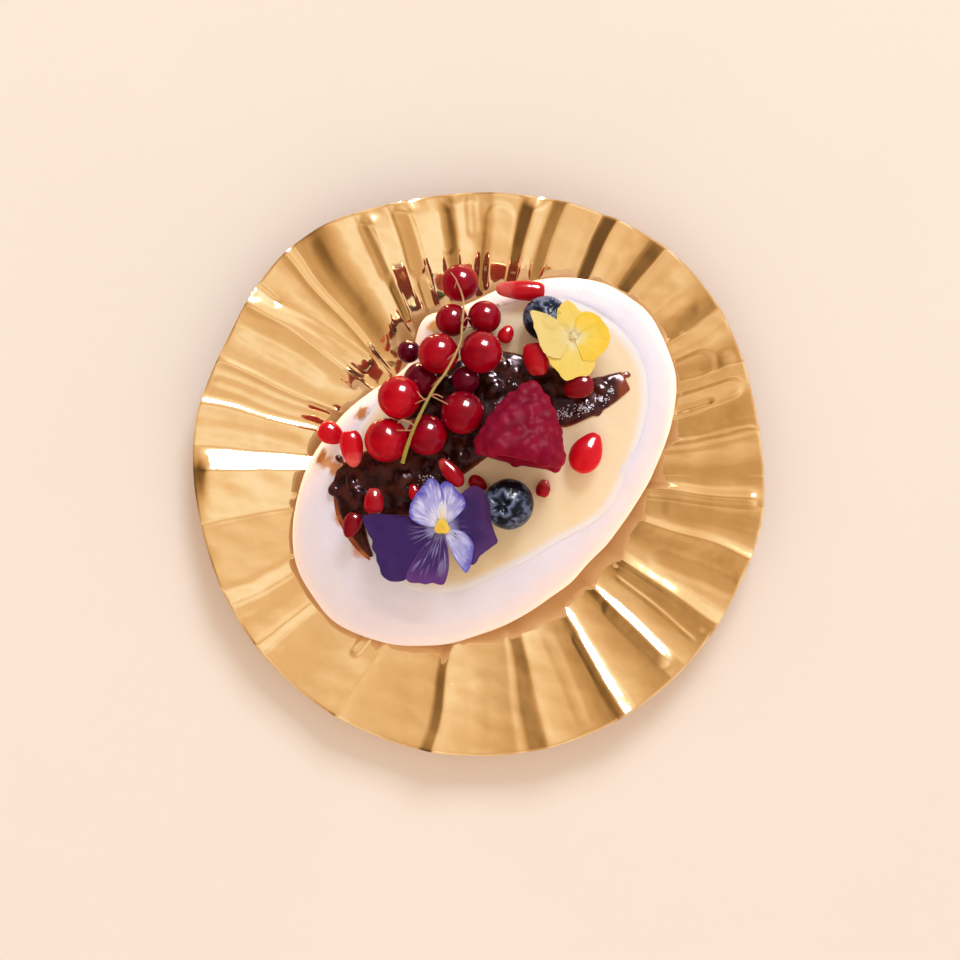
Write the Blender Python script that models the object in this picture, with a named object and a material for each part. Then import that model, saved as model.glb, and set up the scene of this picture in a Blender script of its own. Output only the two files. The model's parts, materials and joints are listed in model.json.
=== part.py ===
"""An oval pavlova on its fluted gold plate, heaped with berries, seeds and two edible flowers.

+Z is up and the origin is the middle of the plate's flat foot. Lengths below are in millimetres and
are turned into metres as the meshes are made. Angles are in degrees, anticlockwise from +X.
"""

import math
from collections import namedtuple

import bmesh
import bpy
from mathutils import Matrix, Vector

MM = 0.001
TURN = 360.0
GAP = 0.35  # air left between pieces that lie on each other

# ---------------------------------------------------------------- plate
PLATE_REACH = 78.4  # rim radius where the outline doesn't bulge
PLATE_WELL = 35.0  # radius of the flat middle
PLATE_BEND = 14.0  # radial length over which the well turns up into the wall
PLATE_WALL_SLOPE = math.tan(math.radians(11.0))
PLATE_THICKNESS = 2.4
PLATE_EDGE_THICKNESS = 1.0
PLATE_EDGE_ROUND = 0.5  # how far the under edge stays inside the rim
PLATE_LIFT = 0.030  # keeps the lowest pleat above the well, as a share of the radius
PLATE_HOLLOW = 0.10  # how steep each panel gets towards the pleats beside it

# Where the rim bulges out: direction, spread, reach.
RIM_BULGES = (
    (45, 26, 3.7),
    (130, 18, 3.9),
    (170, 16, 1.9),
    (352, 12, 1.4),
)

# A pleat is a crease that runs from rim to well: its direction at the rim, the width and slope of the
# side before it and of the side after it, and how far it has turned by the time it meets the well.
Pleat = namedtuple("Pleat", "at before rise after fall turn crest", defaults=(0, 0.5))
PLEATS = (
    Pleat(9.0, 2.0, 0.12, 2.6, -0.14),
    Pleat(23.5, 2.0, 0.18, 1.3, -0.25, 3),
    Pleat(35.0, 3.0, 0.08, 1.2, -0.20),
    Pleat(50.5, 2.5, 0.45, 3.0, -0.38),
    Pleat(60.8, 2.8, 0.50, 3.0, -0.45),
    Pleat(72.0, 7.4, 0.28, 3.2, -0.30, 1),
    Pleat(78.4, 2.6, 0.50, 3.2, -0.50, 1),
    Pleat(87.0, 4.2, 0.18, 3.0, -0.22),
    Pleat(95.0, 3.0, 0.25, 3.0, -0.35),
    Pleat(104.5, 4.0, 0.40, 3.8, -0.20, -2),
    Pleat(113.0, 3.6, 0.45, 2.4, -0.45, 1),
    Pleat(121.5, 5.0, 0.16, 7.6, -0.50, 0, 3.0),
    Pleat(131.4, 1.6, 0.50, 1.2, -0.40, -1),
    Pleat(143.0, 3.2, 0.35, 3.2, -0.20),
    Pleat(156.3, 0.9, 0.40, 0.9, -0.40),
    Pleat(165.3, 1.3, 0.42, 8.0, -0.14),
    Pleat(178.9, 4.6, 0.47, 11.0, -0.17),
    Pleat(217.5, 0.9, 0.35, 2.4, -0.25),
    Pleat(239.4, 1.2, 0.30, 2.2, -0.25, 1),
    Pleat(260.6, 2.6, 0.50, 2.6, -0.30, 1),
    Pleat(279.2, 1.3, -0.40, 7.0, 0.42, 1),
    Pleat(301.5, 2.2, 0.40, 2.2, -0.35, 1),
    Pleat(315.3, 2.0, 0.35, 2.0, -0.45),
    Pleat(327.8, 2.0, 0.50, 3.0, -0.30, 2),
    Pleat(343.0, 1.2, 0.25, 1.8, -0.35, 2),
    Pleat(355.0, 1.5, 0.25, 2.2, -0.40),
)
PLATE_TOP_RINGS = (0.45, 1.0, 1.22, 1.42, 1.75, 2.05)  # times the well's radius, then the rim
PLATE_UNDER_RINGS = (1.9, 1.5, 1.2, 1.0)
PANEL_STEP = 4.5  # degrees between the lines of points across a panel
PLATE_SHARP = math.radians(25)

# ---------------------------------------------------------------- meringue, cream and compote
MERINGUE_MIDDLE = (2.2, 4.7)
MERINGUE_TURN = 38.0  # direction of its long axis
MERINGUE_HALF = (61.0, 40.5)
MERINGUE_SQUARENESS = 2.1
MERINGUE_WAVES = ((1, -0.017, -0.035), (2, 0.015, 0.039), (3, 0.0, 0.012))
MERINGUE_DENTS = ((95, 19, 0.085),)  # direction from the long axis, spread, share of the radius
MERINGUE_WAIST = 12.5  # height of its widest line
MERINGUE_CROWN = 14.0  # how far it rises above that
MERINGUE_PUFF = 3.4  # how full its shoulders are
MERINGUE_FOOT = 0.74  # share of the outline that its underside reaches before curving up
MERINGUE_TRIM = 0.985  # brings the waved outline back to its named size
MERINGUE_STEPS = 40
MERINGUE_UNDER_RINGS = (0.5, MERINGUE_FOOT, 0.86, 0.96)
MERINGUE_SHOULDER_RINGS = (0.06, 0.2, 0.42, 0.7, 1.0)  # from the outline in to the bowl's edge
REST_NEAR = (0, 2)  # how far outwards, and to each side, the underside looks for the plate's pleats
REST_TURNS = (-6, -3, 0, 3, 6)
REST_CLEAR = 0.9

BOWL_MIDDLE = (5.0, 10.5)
BOWL_HALF = (46.0, 30.5)
BOWL_SQUARENESS = 2.4
BOWL_DEPTH = 8.0
BOWL_WALL = 0.30  # share of the bowl's radius that its wall takes up
BOWL_RINGS = (0.9, 0.8, 0.7, 0.4)

CREAM_DIP = 0.9  # how far the cream lies under the meringue's crown, in the middle
CREAM_EDGE = 0.96
CREAM_LEVEL = 4  # how soon the dip sets in: the higher, the flatter the middle
CREAM_UNDER_RINGS = (0.4, 0.7, 0.8, 0.9)
CREAM_TOP_RINGS = (CREAM_EDGE, 0.8, 0.55, 0.3)

# Compote: points along its middle line, with its half width there.
COMPOTE_SPINE = (
    (-38.5, -5.5, 4.5),
    (-31.0, -3.0, 9.0),
    (-21.0, -1.5, 9.5),
    (-11.0, 8.0, 12.0),
    (1.0, 20.5, 10.5),
    (14.0, 26.0, 7.5),
    (27.0, 21.5, 8.0),
    (36.0, 23.5, 5.0),
    (43.5, 27.0, 0.8),
)
COMPOTE_THICKNESS = 1.8
COMPOTE_EDGE = 0.5  # thickness at its edge
COMPOTE_FULL = 5.0  # half width from which it is as thick as that
COMPOTE_LEAST = 0.7  # half width at its two ends
COMPOTE_WOBBLE = 0.10
COMPOTE_WOBBLES = 5.1
COMPOTE_LUMP = 0.35
COMPOTE_SPANS = 22
COMPOTE_ACROSS = 6
COMPOTE_PROBES = 60
SPINE_STEP = 0.1  # how far along a middle line its direction is taken

# ---------------------------------------------------------------- what lies on top
Berry = namedtuple("Berry", "x y z radius")
CURRANTS = (
    Berry(-5.2, 51.7, 23.0, 4.7),
    Berry(-7.4, 41.9, 26.5, 4.2),
    Berry(1.5, 42.6, 28.0, 4.3),
    Berry(-10.9, 32.4, 33.6, 5.2),
    Berry(0.6, 32.8, 34.5, 5.4),
    Berry(-15.8, 25.6, 28.8, 4.4),
    Berry(-21.4, 20.6, 35.2, 5.5),
    Berry(-4.4, 16.6, 34.0, 5.5),
    Berry(-24.9, 9.2, 33.5, 5.6),
    Berry(-14.0, 10.6, 33.0, 5.2),
    Berry(-3.6, 25.4, 32.0, 3.6),
    Berry(-19.2, 33.6, 23.0, 3.0),
)
# The stalk's line over the currants, with its half width.
STALK = (
    (-6.0, 52.5, 28.4, 0.35),
    (-4.2, 47.0, 31.2, 0.40),
    (-4.5, 40.5, 34.6, 0.45),
    (-5.2, 34.8, 37.6, 0.45),
    (-8.6, 27.7, 39.6, 0.50),
    (-11.7, 23.4, 40.2, 0.55),
    (-14.4, 18.5, 40.2, 0.60),
    (-17.4, 12.2, 39.8, 0.70),
    (-19.3, 7.0, 38.8, 0.75),
    (-20.4, 3.2, 37.6, 0.80),
)

STALK_SIDES = 6
STALK_SPANS = 18

BERRY_SEGMENTS = 10
BERRY_RINGS = 7

Blueberry = namedtuple("Blueberry", "x y z radius crown_turn crown_tip")
BLUEBERRIES = (
    Blueberry(8.0, -7.9, 32.4, 6.9, 175, 22),
    Blueberry(18.2, 42.2, 30.0, 6.5, 60, 40),
)
BLUEBERRY_SEGMENTS = 14
BLUEBERRY_RINGS = 10
BLUEBERRY_FLATNESS = 0.9
CROWN_DEPTH = 1.8
CROWN_RIM = 0.18
CROWN_HALF_ANGLE = 26.0
POLE = 1.0  # an angle smaller than any ring's

RASPBERRY_BASE = (11.6, 1.5, 37.2)
RASPBERRY_TIP = (14.8, 24.2, 34.5)
RASPBERRY_RADIUS = 12.6
RASPBERRY_FLATNESS = 0.78
RASPBERRY_OPENING = 0.80  # half width at its open end, as a share of the widest
RASPBERRY_SHOULDER = 0.2  # how far along it is widest
RASPBERRY_FULLNESS = 2.1
RASPBERRY_HOLLOW = 0.06  # how far along the middle of its open end lies
RASPBERRY_RINGS = 14
RASPBERRY_STEPS = 22
DRUPELET_ROWS = 7
DRUPELETS_ROUND = 11
DRUPELET_BULGE = 0.9
DRUPELET_FADE = 5.0  # half width under which the drupelets get lower

# Seeds: place, half length, half width, direction, and height above what is under them.
Seed = namedtuple("Seed", "x y long wide turn lift", defaults=(0.0,))
SEEDS = (
    Seed(7.6, 38.4, 2.4, 2.1, 60),
    Seed(11.4, 50.4, 6.8, 2.9, 176, 1.0),
    Seed(15.6, 31.2, 4.9, 3.9, 95),
    Seed(26.8, 24.0, 4.2, 3.2, 20),
    Seed(29.6, 6.2, 5.6, 4.4, 62),
    Seed(-40.6, 11.6, 3.5, 3.1, 150),
    Seed(-34.4, 7.2, 5.2, 3.3, 98, 0.4),
    Seed(-7.4, 0.6, 4.6, 2.4, 310, 1.2),
    Seed(-28.4, -7.0, 3.8, 2.9, 90),
    Seed(17.6, -3.6, 2.6, 2.0, 75),
    Seed(-17.6, -4.6, 2.2, 1.6, 100),
    Seed(-0.2, -2.4, 2.6, 1.9, 330),
    Seed(-34.2, -13.6, 3.6, 2.4, 70),
)
SEED_TAPER = 0.35
SEED_TAPER_FROM = -0.3  # where along it the taper starts, of -1 to 1
SEED_FLATNESS = 0.85
SEED_SEGMENTS = 8
SEED_RINGS = 6
SEED_REST = (-0.8, 0, 0.8)  # where along it the surface under it is felt

# Flowers: the middle, then the outline as direction and reach from the middle.
VIOLA_MIDDLE = (-9.9, -14.0)
VIOLA_LEVEL = 32.6
VIOLA_LEAN = 0.05  # rise per millimetre towards +X
VIOLA_OUTLINE = (
    (0, 13.5), (14, 13.3), (35, 14.6), (57, 13.8), (70, 10.8), (82, 12.2), (93, 11.3), (104, 13.4),
    (125, 11.5), (144, 10.4), (160, 13.0), (172, 21.4), (195, 19.5), (220, 20.8), (245, 16.5),
    (260, 15.5), (272, 15.2), (280, 11.0), (288, 7.0), (297, 13.6), (320, 14.4), (346, 15.4),
)
YELLOW_MIDDLE = (25.4, 37.3)
YELLOW_LEVEL = 33.2
YELLOW_LEAN = -0.26
YELLOW_OUTLINE = (
    (23, 9.2), (55, 7.7), (80, 6.4), (97, 9.4), (117, 8.6), (132, 7.2), (151, 13.2), (180, 9.4),
    (206, 9.2), (233, 9.9), (262, 12.2), (293, 11.1), (320, 8.6), (350, 10.0),
)
PETAL_THICKNESS = 0.45
PETAL_RINGS = (0.34, 0.67, 1.0)
PETAL_CUP = 0.8  # how far the edge curls up
PETAL_SPOKES = 30
PETAL_CLOSEST = 3.0  # least angle between two points of the outline
PETAL_CLEAR = 0.9  # air between a petal's middle and the berry under it


def smooth(x):
    """0 below 0, 1 above 1, and an S between."""
    x = min(max(x, 0.0), 1.0)
    return x * x * (3 - 2 * x)


def signed(angle):
    """The same angle, between -180 and 180."""
    return (angle + 180) % TURN - 180


def soft_ramp(x, soft):
    """0 below 0 and x above it, with the corner rounded over 2 * soft."""
    if x <= -soft:
        return 0.0
    if x >= soft:
        return x
    return (x + soft) ** 2 / (4 * soft)


def polar(radius, angle, middle=(0.0, 0.0)):
    return (
        middle[0] + radius * math.cos(math.radians(angle)),
        middle[1] + radius * math.sin(math.radians(angle)),
    )


# ---------------------------------------------------------------- plate's form


def rim_radius(angle):
    bulges = (reach * math.exp(-((signed(angle - at) / spread) ** 2)) for at, spread, reach in RIM_BULGES)
    return PLATE_REACH + sum(bulges)


def turned(pleat, outward):
    """The pleat's direction where outward is 0 at the well and 1 at the rim."""
    return pleat.at + pleat.turn * (1 - outward)


def pleat_rise(pleat, past):
    """Height for each millimetre of radius, at an angle past the crease."""
    soft = min(pleat.crest, pleat.before, pleat.after)
    crest = max(soft, pleat.crest)
    rise = pleat.rise * soft_ramp(past + pleat.before, soft)
    rise += (pleat.fall - pleat.rise) * soft_ramp(past, crest)
    rise -= pleat.fall * soft_ramp(past - pleat.after, soft)
    left_over = pleat.rise * pleat.before + pleat.fall * pleat.after
    rise -= left_over * max(past - pleat.after, 0.0) / (TURN - pleat.before - pleat.after)
    return rise


def panel_sag(pleat, following, angle, outward):
    """The shallow hollow between two pleats."""
    start = turned(pleat, outward) + pleat.after
    width = (turned(following, outward) - following.before - start) % TURN
    if width == 0 or width > TURN / 2:
        return 0.0
    across = ((angle - start) % TURN) / width * 2 - 1
    return -PLATE_HOLLOW * width / 4 * (1 - across * across) if across < 1 else 0.0


def pleating(angle, outward):
    total = 0.0
    for pleat, following in zip(PLEATS, PLEATS[1:] + PLEATS[:1]):
        before = pleat.before + pleat.crest
        past = (angle - turned(pleat, outward) + before) % TURN - before
        total += pleat_rise(pleat, past) + panel_sag(pleat, following, angle, outward)
    return math.radians(total)


def plate_top(radius, angle):
    bend = min(max((radius - PLATE_WELL) / PLATE_BEND, 0.0), 1.0)
    height = PLATE_THICKNESS + PLATE_BEND * PLATE_WALL_SLOPE * (bend**3 - bend**4 / 2)
    height += max(radius - PLATE_WELL - PLATE_BEND, 0.0) * PLATE_WALL_SLOPE
    outward = (radius - PLATE_WELL) / (PLATE_REACH - PLATE_WELL)
    return height + radius * smooth(bend) * (PLATE_LIFT + pleating(angle, outward))


def plate_thickness(radius, angle):
    thinning = smooth((radius - PLATE_WELL) / (rim_radius(angle) - PLATE_WELL))
    return PLATE_THICKNESS + (PLATE_EDGE_THICKNESS - PLATE_THICKNESS) * thinning


# ---------------------------------------------------------------- the dessert's form


def superellipse(half, squareness, angle):
    along = abs(math.cos(math.radians(angle)) / half[0]) ** squareness
    across = abs(math.sin(math.radians(angle)) / half[1]) ** squareness
    return (along + across) ** (-1 / squareness)


def meringue_reach(angle):
    """The outline's radius, at an angle from +X."""
    local = angle - MERINGUE_TURN
    share = MERINGUE_TRIM
    for count, cosine, sine in MERINGUE_WAVES:
        turn = math.radians(count * local)
        share += cosine * math.cos(turn) + sine * math.sin(turn)
    for at, spread, depth in MERINGUE_DENTS:
        share -= depth * math.exp(-((signed(local - at) / spread) ** 2))
    return share * superellipse(MERINGUE_HALF, MERINGUE_SQUARENESS, local)


def bowl_reach(angle):
    return superellipse(BOWL_HALF, BOWL_SQUARENESS, angle - MERINGUE_TURN)


def share_of(x, y, middle, reach):
    """How far out a point lies: 0 in the middle and 1 on the outline."""
    dx, dy = x - middle[0], y - middle[1]
    return math.hypot(dx, dy) / reach(math.degrees(math.atan2(dy, dx)))


def crown(x, y):
    """The meringue's rounded top, before its bowl is pressed in."""
    out = min(share_of(x, y, MERINGUE_MIDDLE, meringue_reach), 1.0)
    return MERINGUE_WAIST + MERINGUE_CROWN * math.sqrt(1 - out**MERINGUE_PUFF)


def bowl_floor(x, y):
    inward = (1 - share_of(x, y, BOWL_MIDDLE, bowl_reach)) / BOWL_WALL
    return crown(x, y) - BOWL_DEPTH * smooth(inward)


def cream_top(x, y):
    out = share_of(x, y, BOWL_MIDDLE, bowl_reach)
    return crown(x, y) - CREAM_DIP * (1 - min(out, 1.0) ** CREAM_LEVEL)


def dessert_top(x, y):
    """What a topping lies on: the cream inside the bowl, and the meringue round it."""
    inside = share_of(x, y, BOWL_MIDDLE, bowl_reach) < CREAM_EDGE
    return cream_top(x, y) if inside else bowl_floor(x, y)


# ---------------------------------------------------------------- mesh helpers


def finish(name, mesh, material, sharp=math.radians(50)):
    if mesh.calc_volume(signed=True) < 0:
        bmesh.ops.reverse_faces(mesh, faces=mesh.faces)
    data = bpy.data.meshes.new(name)
    mesh.to_mesh(data)
    mesh.free()
    data.shade_smooth()
    data.set_sharp_from_angle(angle=sharp)
    data.materials.append(material)
    thing = bpy.data.objects.new(name, data)
    bpy.context.scene.collection.objects.link(thing)
    return thing


def add_ring(mesh, points):
    return [mesh.verts.new([value * MM for value in point]) for point in points]


def bridge(mesh, ring, following):
    for i in range(len(ring)):
        j = (i + 1) % len(ring)
        mesh.faces.new((ring[i], ring[j], following[j], following[i]))


def cap(mesh, ring, point):
    """Closes a ring with a fan round one point."""
    middle = mesh.verts.new([value * MM for value in point])
    for i in range(len(ring)):
        mesh.faces.new((ring[i], ring[(i + 1) % len(ring)], middle))


def loft(mesh, rings, bottom, top):
    """A closed skin through rings of equally many points, from the bottom point to the top one."""
    made = [add_ring(mesh, ring) for ring in rings]
    for ring, following in zip(made, made[1:]):
        bridge(mesh, ring, following)
    cap(mesh, made[0][::-1], bottom)
    cap(mesh, made[-1], top)


def make_material(name, colour, roughness, metallic=0.0):
    material = bpy.data.materials.new(name)
    material.use_nodes = True
    shader = material.node_tree.nodes["Principled BSDF"]
    shader.inputs["Base Color"].default_value = (*colour, 1.0)
    shader.inputs["Roughness"].default_value = roughness
    shader.inputs["Metallic"].default_value = metallic
    return material


# ---------------------------------------------------------------- the pieces


def plate_columns():
    """Directions at the rim that the plate's skin follows, each with its turn towards the well."""
    columns = []
    for pleat, following in zip(PLEATS, PLEATS[1:] + PLEATS[:1]):
        foot = pleat.at + pleat.after
        next_foot = following.at - following.before + (TURN if following.at < pleat.at else 0)
        columns.append((pleat.at - pleat.before, pleat.turn))
        columns.append((pleat.at, pleat.turn))
        columns.append((foot, pleat.turn))
        spans = max(1, round((next_foot - foot) / PANEL_STEP))
        for i in range(1, spans):
            share = i / spans
            turn = pleat.turn + (following.turn - pleat.turn) * share
            columns.append((foot + (next_foot - foot) * share, turn))
    return columns


def make_plate(material):
    columns = plate_columns()

    def angle_at(column, radius):
        outward = (radius - PLATE_WELL) / (PLATE_REACH - PLATE_WELL)
        return column[0] + column[1] * (1 - max(outward, 0.0))

    def top_point(column, radius):
        angle = angle_at(column, radius)
        return (*polar(radius, angle), plate_top(radius, angle))

    def under_point(column, radius):
        angle = angle_at(column, radius)
        return (*polar(radius, angle), plate_top(radius, angle) - plate_thickness(radius, angle))

    mesh = bmesh.new()
    rings = [[under_point(c, PLATE_WELL * share) for c in columns] for share in reversed(PLATE_UNDER_RINGS)]
    rings.append([under_point(c, rim_radius(c[0]) - PLATE_EDGE_ROUND) for c in columns])
    rings.append([top_point(c, rim_radius(c[0])) for c in columns])
    rings += [[top_point(c, PLATE_WELL * share) for c in columns] for share in reversed(PLATE_TOP_RINGS)]
    loft(mesh, rings, (0, 0, 0), (0, 0, PLATE_THICKNESS))
    finish("plate", mesh, material, PLATE_SHARP)


def meringue_point(angle, share):
    return polar(meringue_reach(angle) * share, angle, MERINGUE_MIDDLE)


def meringue_under(angle, share):
    """A point of the underside, lifted where the plate's pleats come up to meet it."""
    x, y = meringue_point(angle, share)
    up = max((share - MERINGUE_FOOT) / (1 - MERINGUE_FOOT), 0.0)
    rounded = (MERINGUE_WAIST - PLATE_THICKNESS) * (1 - math.sqrt(max(1 - up**2, 0.0)))
    radius, direction = math.hypot(x, y), math.degrees(math.atan2(y, x))
    near = [(radius + far, direction + turn) for far in REST_NEAR for turn in REST_TURNS]
    ground = max(plate_top(*place) for place in near)
    clear = GAP + REST_CLEAR * smooth((radius - PLATE_WELL) / PLATE_BEND)
    return (x, y, max(PLATE_THICKNESS + GAP + rounded, ground + clear))


def make_meringue(material):
    angles = [TURN * i / MERINGUE_STEPS for i in range(MERINGUE_STEPS)]
    mesh = bmesh.new()
    rings = [[meringue_under(a, share) for a in angles] for share in MERINGUE_UNDER_RINGS]
    rings.append([(*meringue_point(a, 1.0), MERINGUE_WAIST) for a in angles])
    for inward in MERINGUE_SHOULDER_RINGS:
        ring = []
        for angle in angles:
            outer = meringue_point(angle, 1.0)
            inner = polar(bowl_reach(angle), angle, BOWL_MIDDLE)
            x, y = (outer[k] + (inner[k] - outer[k]) * inward for k in (0, 1))
            ring.append((x, y, crown(x, y)))
        rings.append(ring)
    for share in BOWL_RINGS:
        places = [polar(bowl_reach(a) * share, a, BOWL_MIDDLE) for a in angles]
        rings.append([(x, y, bowl_floor(x, y)) for x, y in places])
    foot = (*MERINGUE_MIDDLE, PLATE_THICKNESS + GAP)
    loft(mesh, rings, foot, (*BOWL_MIDDLE, bowl_floor(*BOWL_MIDDLE)))
    finish("meringue", mesh, material)


def make_cream(material):
    angles = [TURN * i / MERINGUE_STEPS for i in range(MERINGUE_STEPS)]

    def ring(share, height):
        places = [polar(bowl_reach(a) * share, a, BOWL_MIDDLE) for a in angles]
        return [(x, y, height(x, y)) for x, y in places]

    def under(x, y):
        return bowl_floor(x, y) + GAP

    mesh = bmesh.new()
    rings = [ring(share, under) for share in CREAM_UNDER_RINGS]
    rings += [ring(share, cream_top) for share in CREAM_TOP_RINGS]
    loft(mesh, rings, (*BOWL_MIDDLE, under(*BOWL_MIDDLE)), (*BOWL_MIDDLE, cream_top(*BOWL_MIDDLE)))
    finish("custard_cream", mesh, material)


def catmull(points, at):
    """A smooth curve through points of any dimension, at a place counted in points."""
    i = min(int(at), len(points) - 2)
    t = at - i
    near = [points[min(max(i + k, 0), len(points) - 1)] for k in (-1, 0, 1, 2)]
    weights = (
        (-t + 2 * t**2 - t**3) / 2,
        (2 - 5 * t**2 + 3 * t**3) / 2,
        (t + 4 * t**2 - 3 * t**3) / 2,
        (t**3 - t**2) / 2,
    )
    return [sum(w * p[k] for w, p in zip(weights, near)) for k in range(len(points[0]))]


def direction_at(points, at):
    """Which way a curve runs at a place counted in points."""
    ahead = Vector(catmull(points, min(at + SPINE_STEP, len(points) - 1)))
    behind = Vector(catmull(points, max(at - SPINE_STEP, 0.0)))
    return ahead - behind


def compote_lump(x, y):
    """Two crossing trains of soft waves, 6 to 7 mm long, that make lumps the size of crushed berries."""
    return COMPOTE_LUMP * (math.sin(x * 0.9 + 1.3 * math.sin(y * 0.5)) + math.sin(y * 1.1 - 0.4 * x))


def compote_top(x, y):
    """Height of the compote's top there, or of what is under it where there is none."""
    nearest = -1.0
    for i in range(COMPOTE_PROBES + 1):
        px, py, half = catmull(COMPOTE_SPINE, (len(COMPOTE_SPINE) - 1) * i / COMPOTE_PROBES)
        nearest = max(nearest, 1 - math.hypot(x - px, y - py) / half)
    if nearest <= 0:
        return dessert_top(x, y)
    return dessert_top(x, y) + GAP + COMPOTE_THICKNESS + 2 * COMPOTE_LUMP


def compote_thickness(x, y, share, half):
    """How thick it is across its width, where share is -1 and 1 at its edges."""
    dome = math.sqrt(max(1 - share**2, 0.0))
    fullness = min(half / COMPOTE_FULL, 1)
    thick = COMPOTE_EDGE + (COMPOTE_THICKNESS - COMPOTE_EDGE) * dome * fullness + dome * compote_lump(x, y)
    return max(thick, COMPOTE_EDGE)


def make_compote(material):
    """Each section across the middle line is a ring: out along the cream, and back over the top."""
    mesh = bmesh.new()
    rings = []
    ends = []
    for i in range(COMPOTE_SPANS + 1):
        at = (len(COMPOTE_SPINE) - 1) * i / COMPOTE_SPANS
        x, y, half = catmull(COMPOTE_SPINE, at)
        along = direction_at(COMPOTE_SPINE, at).xy.normalized()
        across = Vector((-along.y, along.x))
        half = max(half * (1 + COMPOTE_WOBBLE * math.sin(at * COMPOTE_WOBBLES)), COMPOTE_LEAST)
        under, over = [], []
        for k in range(COMPOTE_ACROSS + 1):
            share = 2 * k / COMPOTE_ACROSS - 1
            px, py = x + across.x * half * share, y + across.y * half * share
            bottom = dessert_top(px, py) + GAP
            under.append((px, py, bottom))
            over.append((px, py, bottom + compote_thickness(px, py, share, half)))
        rings.append(under + over[::-1])
        ends.append((x, y, dessert_top(x, y) + GAP + COMPOTE_EDGE))
    loft(mesh, rings, ends[0], ends[-1])
    finish("berry_compote", mesh, material)


def make_currant(name, berry, material):
    mesh = bmesh.new()
    bmesh.ops.create_uvsphere(
        mesh, u_segments=BERRY_SEGMENTS, v_segments=BERRY_RINGS, radius=berry.radius * MM
    )
    thing = finish(name, mesh, material)
    thing.location = [value * MM for value in (berry.x, berry.y, berry.z)]


def make_stalk(material):
    mesh = bmesh.new()
    rings = []
    for i in range(STALK_SPANS + 1):
        at = (len(STALK) - 1) * i / STALK_SPANS
        x, y, z, half = catmull(STALK, at)
        along = direction_at(STALK, at).xyz.normalized()
        side = along.cross(Vector((0, 0, 1))).normalized()
        up = side.cross(along)
        turns = [math.tau * k / STALK_SIDES for k in range(STALK_SIDES)]
        rings.append([Vector((x, y, z)) + half * (side * math.cos(t) + up * math.sin(t)) for t in turns])
    loft(mesh, rings, STALK[0][:3], STALK[-1][:3])
    finish("currant_stalk", mesh, material)


def make_blueberry(name, berry, material):
    """A slightly flat ball with its crown pressed in at the pole, turned to where the crown looks."""
    mesh = bmesh.new()
    bmesh.ops.create_uvsphere(
        mesh, u_segments=BLUEBERRY_SEGMENTS, v_segments=BLUEBERRY_RINGS, radius=berry.radius * MM
    )
    for vert in mesh.verts:
        vert.co.z *= BLUEBERRY_FLATNESS
        from_pole = math.degrees(math.atan2(math.hypot(vert.co.x, vert.co.y), vert.co.z))
        if from_pole < POLE:
            vert.co.z -= CROWN_DEPTH * MM
        elif from_pole < CROWN_HALF_ANGLE:
            vert.co.z += CROWN_RIM * MM
    thing = finish(name, mesh, material)
    place = Matrix.Translation([value * MM for value in (berry.x, berry.y, berry.z)])
    turn = Matrix.Rotation(math.radians(berry.crown_turn), 4, "Z")
    tip = Matrix.Rotation(math.radians(berry.crown_tip), 4, "Y")
    thing.matrix_world = place @ turn @ tip


def raspberry_radius(along):
    """Half width of the berry, from its open end at 0 to its tip at 1."""
    opening = RASPBERRY_OPENING + (1 - RASPBERRY_OPENING) * smooth(along / RASPBERRY_SHOULDER)
    return RASPBERRY_RADIUS * opening * math.sqrt(max(1 - along**RASPBERRY_FULLNESS, 0.0))


def drupelet_bulge(out, turn):
    """How far the surface stands out: rows of bumps, each row turned by half a bump."""
    row = out * DRUPELET_ROWS
    offset = math.pi * (int(row) % 2)
    fade = min(raspberry_radius(out) / DRUPELET_FADE, 1)
    return DRUPELET_BULGE * fade * math.sin(math.pi * (row % 1)) * math.cos(turn * DRUPELETS_ROUND + offset)


def make_raspberry(material):
    base, tip = Vector(RASPBERRY_BASE), Vector(RASPBERRY_TIP)
    axis = tip - base
    along = axis.normalized()
    side = along.cross(Vector((0, 0, 1))).normalized()
    up = side.cross(along)
    rings = []
    for i in range(RASPBERRY_RINGS):
        out = (i + 0.5) / RASPBERRY_RINGS
        ring = []
        for k in range(RASPBERRY_STEPS):
            turn = math.tau * k / RASPBERRY_STEPS
            radius = raspberry_radius(out) + drupelet_bulge(out, turn)
            outward = side * math.cos(turn) + up * math.sin(turn) * RASPBERRY_FLATNESS
            ring.append(base + axis * out + outward * radius)
        rings.append(ring)
    mesh = bmesh.new()
    loft(mesh, rings, base + axis * RASPBERRY_HOLLOW, tip)
    finish("raspberry", mesh, material)


def make_seed(name, seed, material):
    """A plump drop, narrower at one end, lying on what is under it."""
    mesh = bmesh.new()
    bmesh.ops.create_uvsphere(mesh, u_segments=SEED_SEGMENTS, v_segments=SEED_RINGS, radius=1.0)
    for vert in mesh.verts:
        narrowing = 1 - SEED_TAPER * smooth((vert.co.z - SEED_TAPER_FROM) / (1 - SEED_TAPER_FROM))
        across = Vector((vert.co.x, vert.co.y, 0)) * seed.wide * narrowing
        vert.co = Vector((vert.co.z * seed.long, across.y, -across.x * SEED_FLATNESS)) * MM
    thing = finish(name, mesh, material)
    under = max(compote_top(*polar(seed.long * k, seed.turn, (seed.x, seed.y))) for k in SEED_REST)
    height = under + GAP + seed.wide * SEED_FLATNESS + seed.lift
    thing.location = [value * MM for value in (seed.x, seed.y, height)]
    thing.rotation_euler = (0, 0, math.radians(seed.turn))


def reach_at(outline, angle):
    """The outline's radius in a direction, between the two points beside it."""
    points = list(outline) + [(outline[0][0] + TURN, outline[0][1])]
    angle = (angle - points[0][0]) % TURN + points[0][0]
    for (low, first), (high, second) in zip(points, points[1:]):
        if low <= angle <= high:
            return first + (second - first) * (angle - low) / (high - low)
    return points[0][1]


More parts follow.
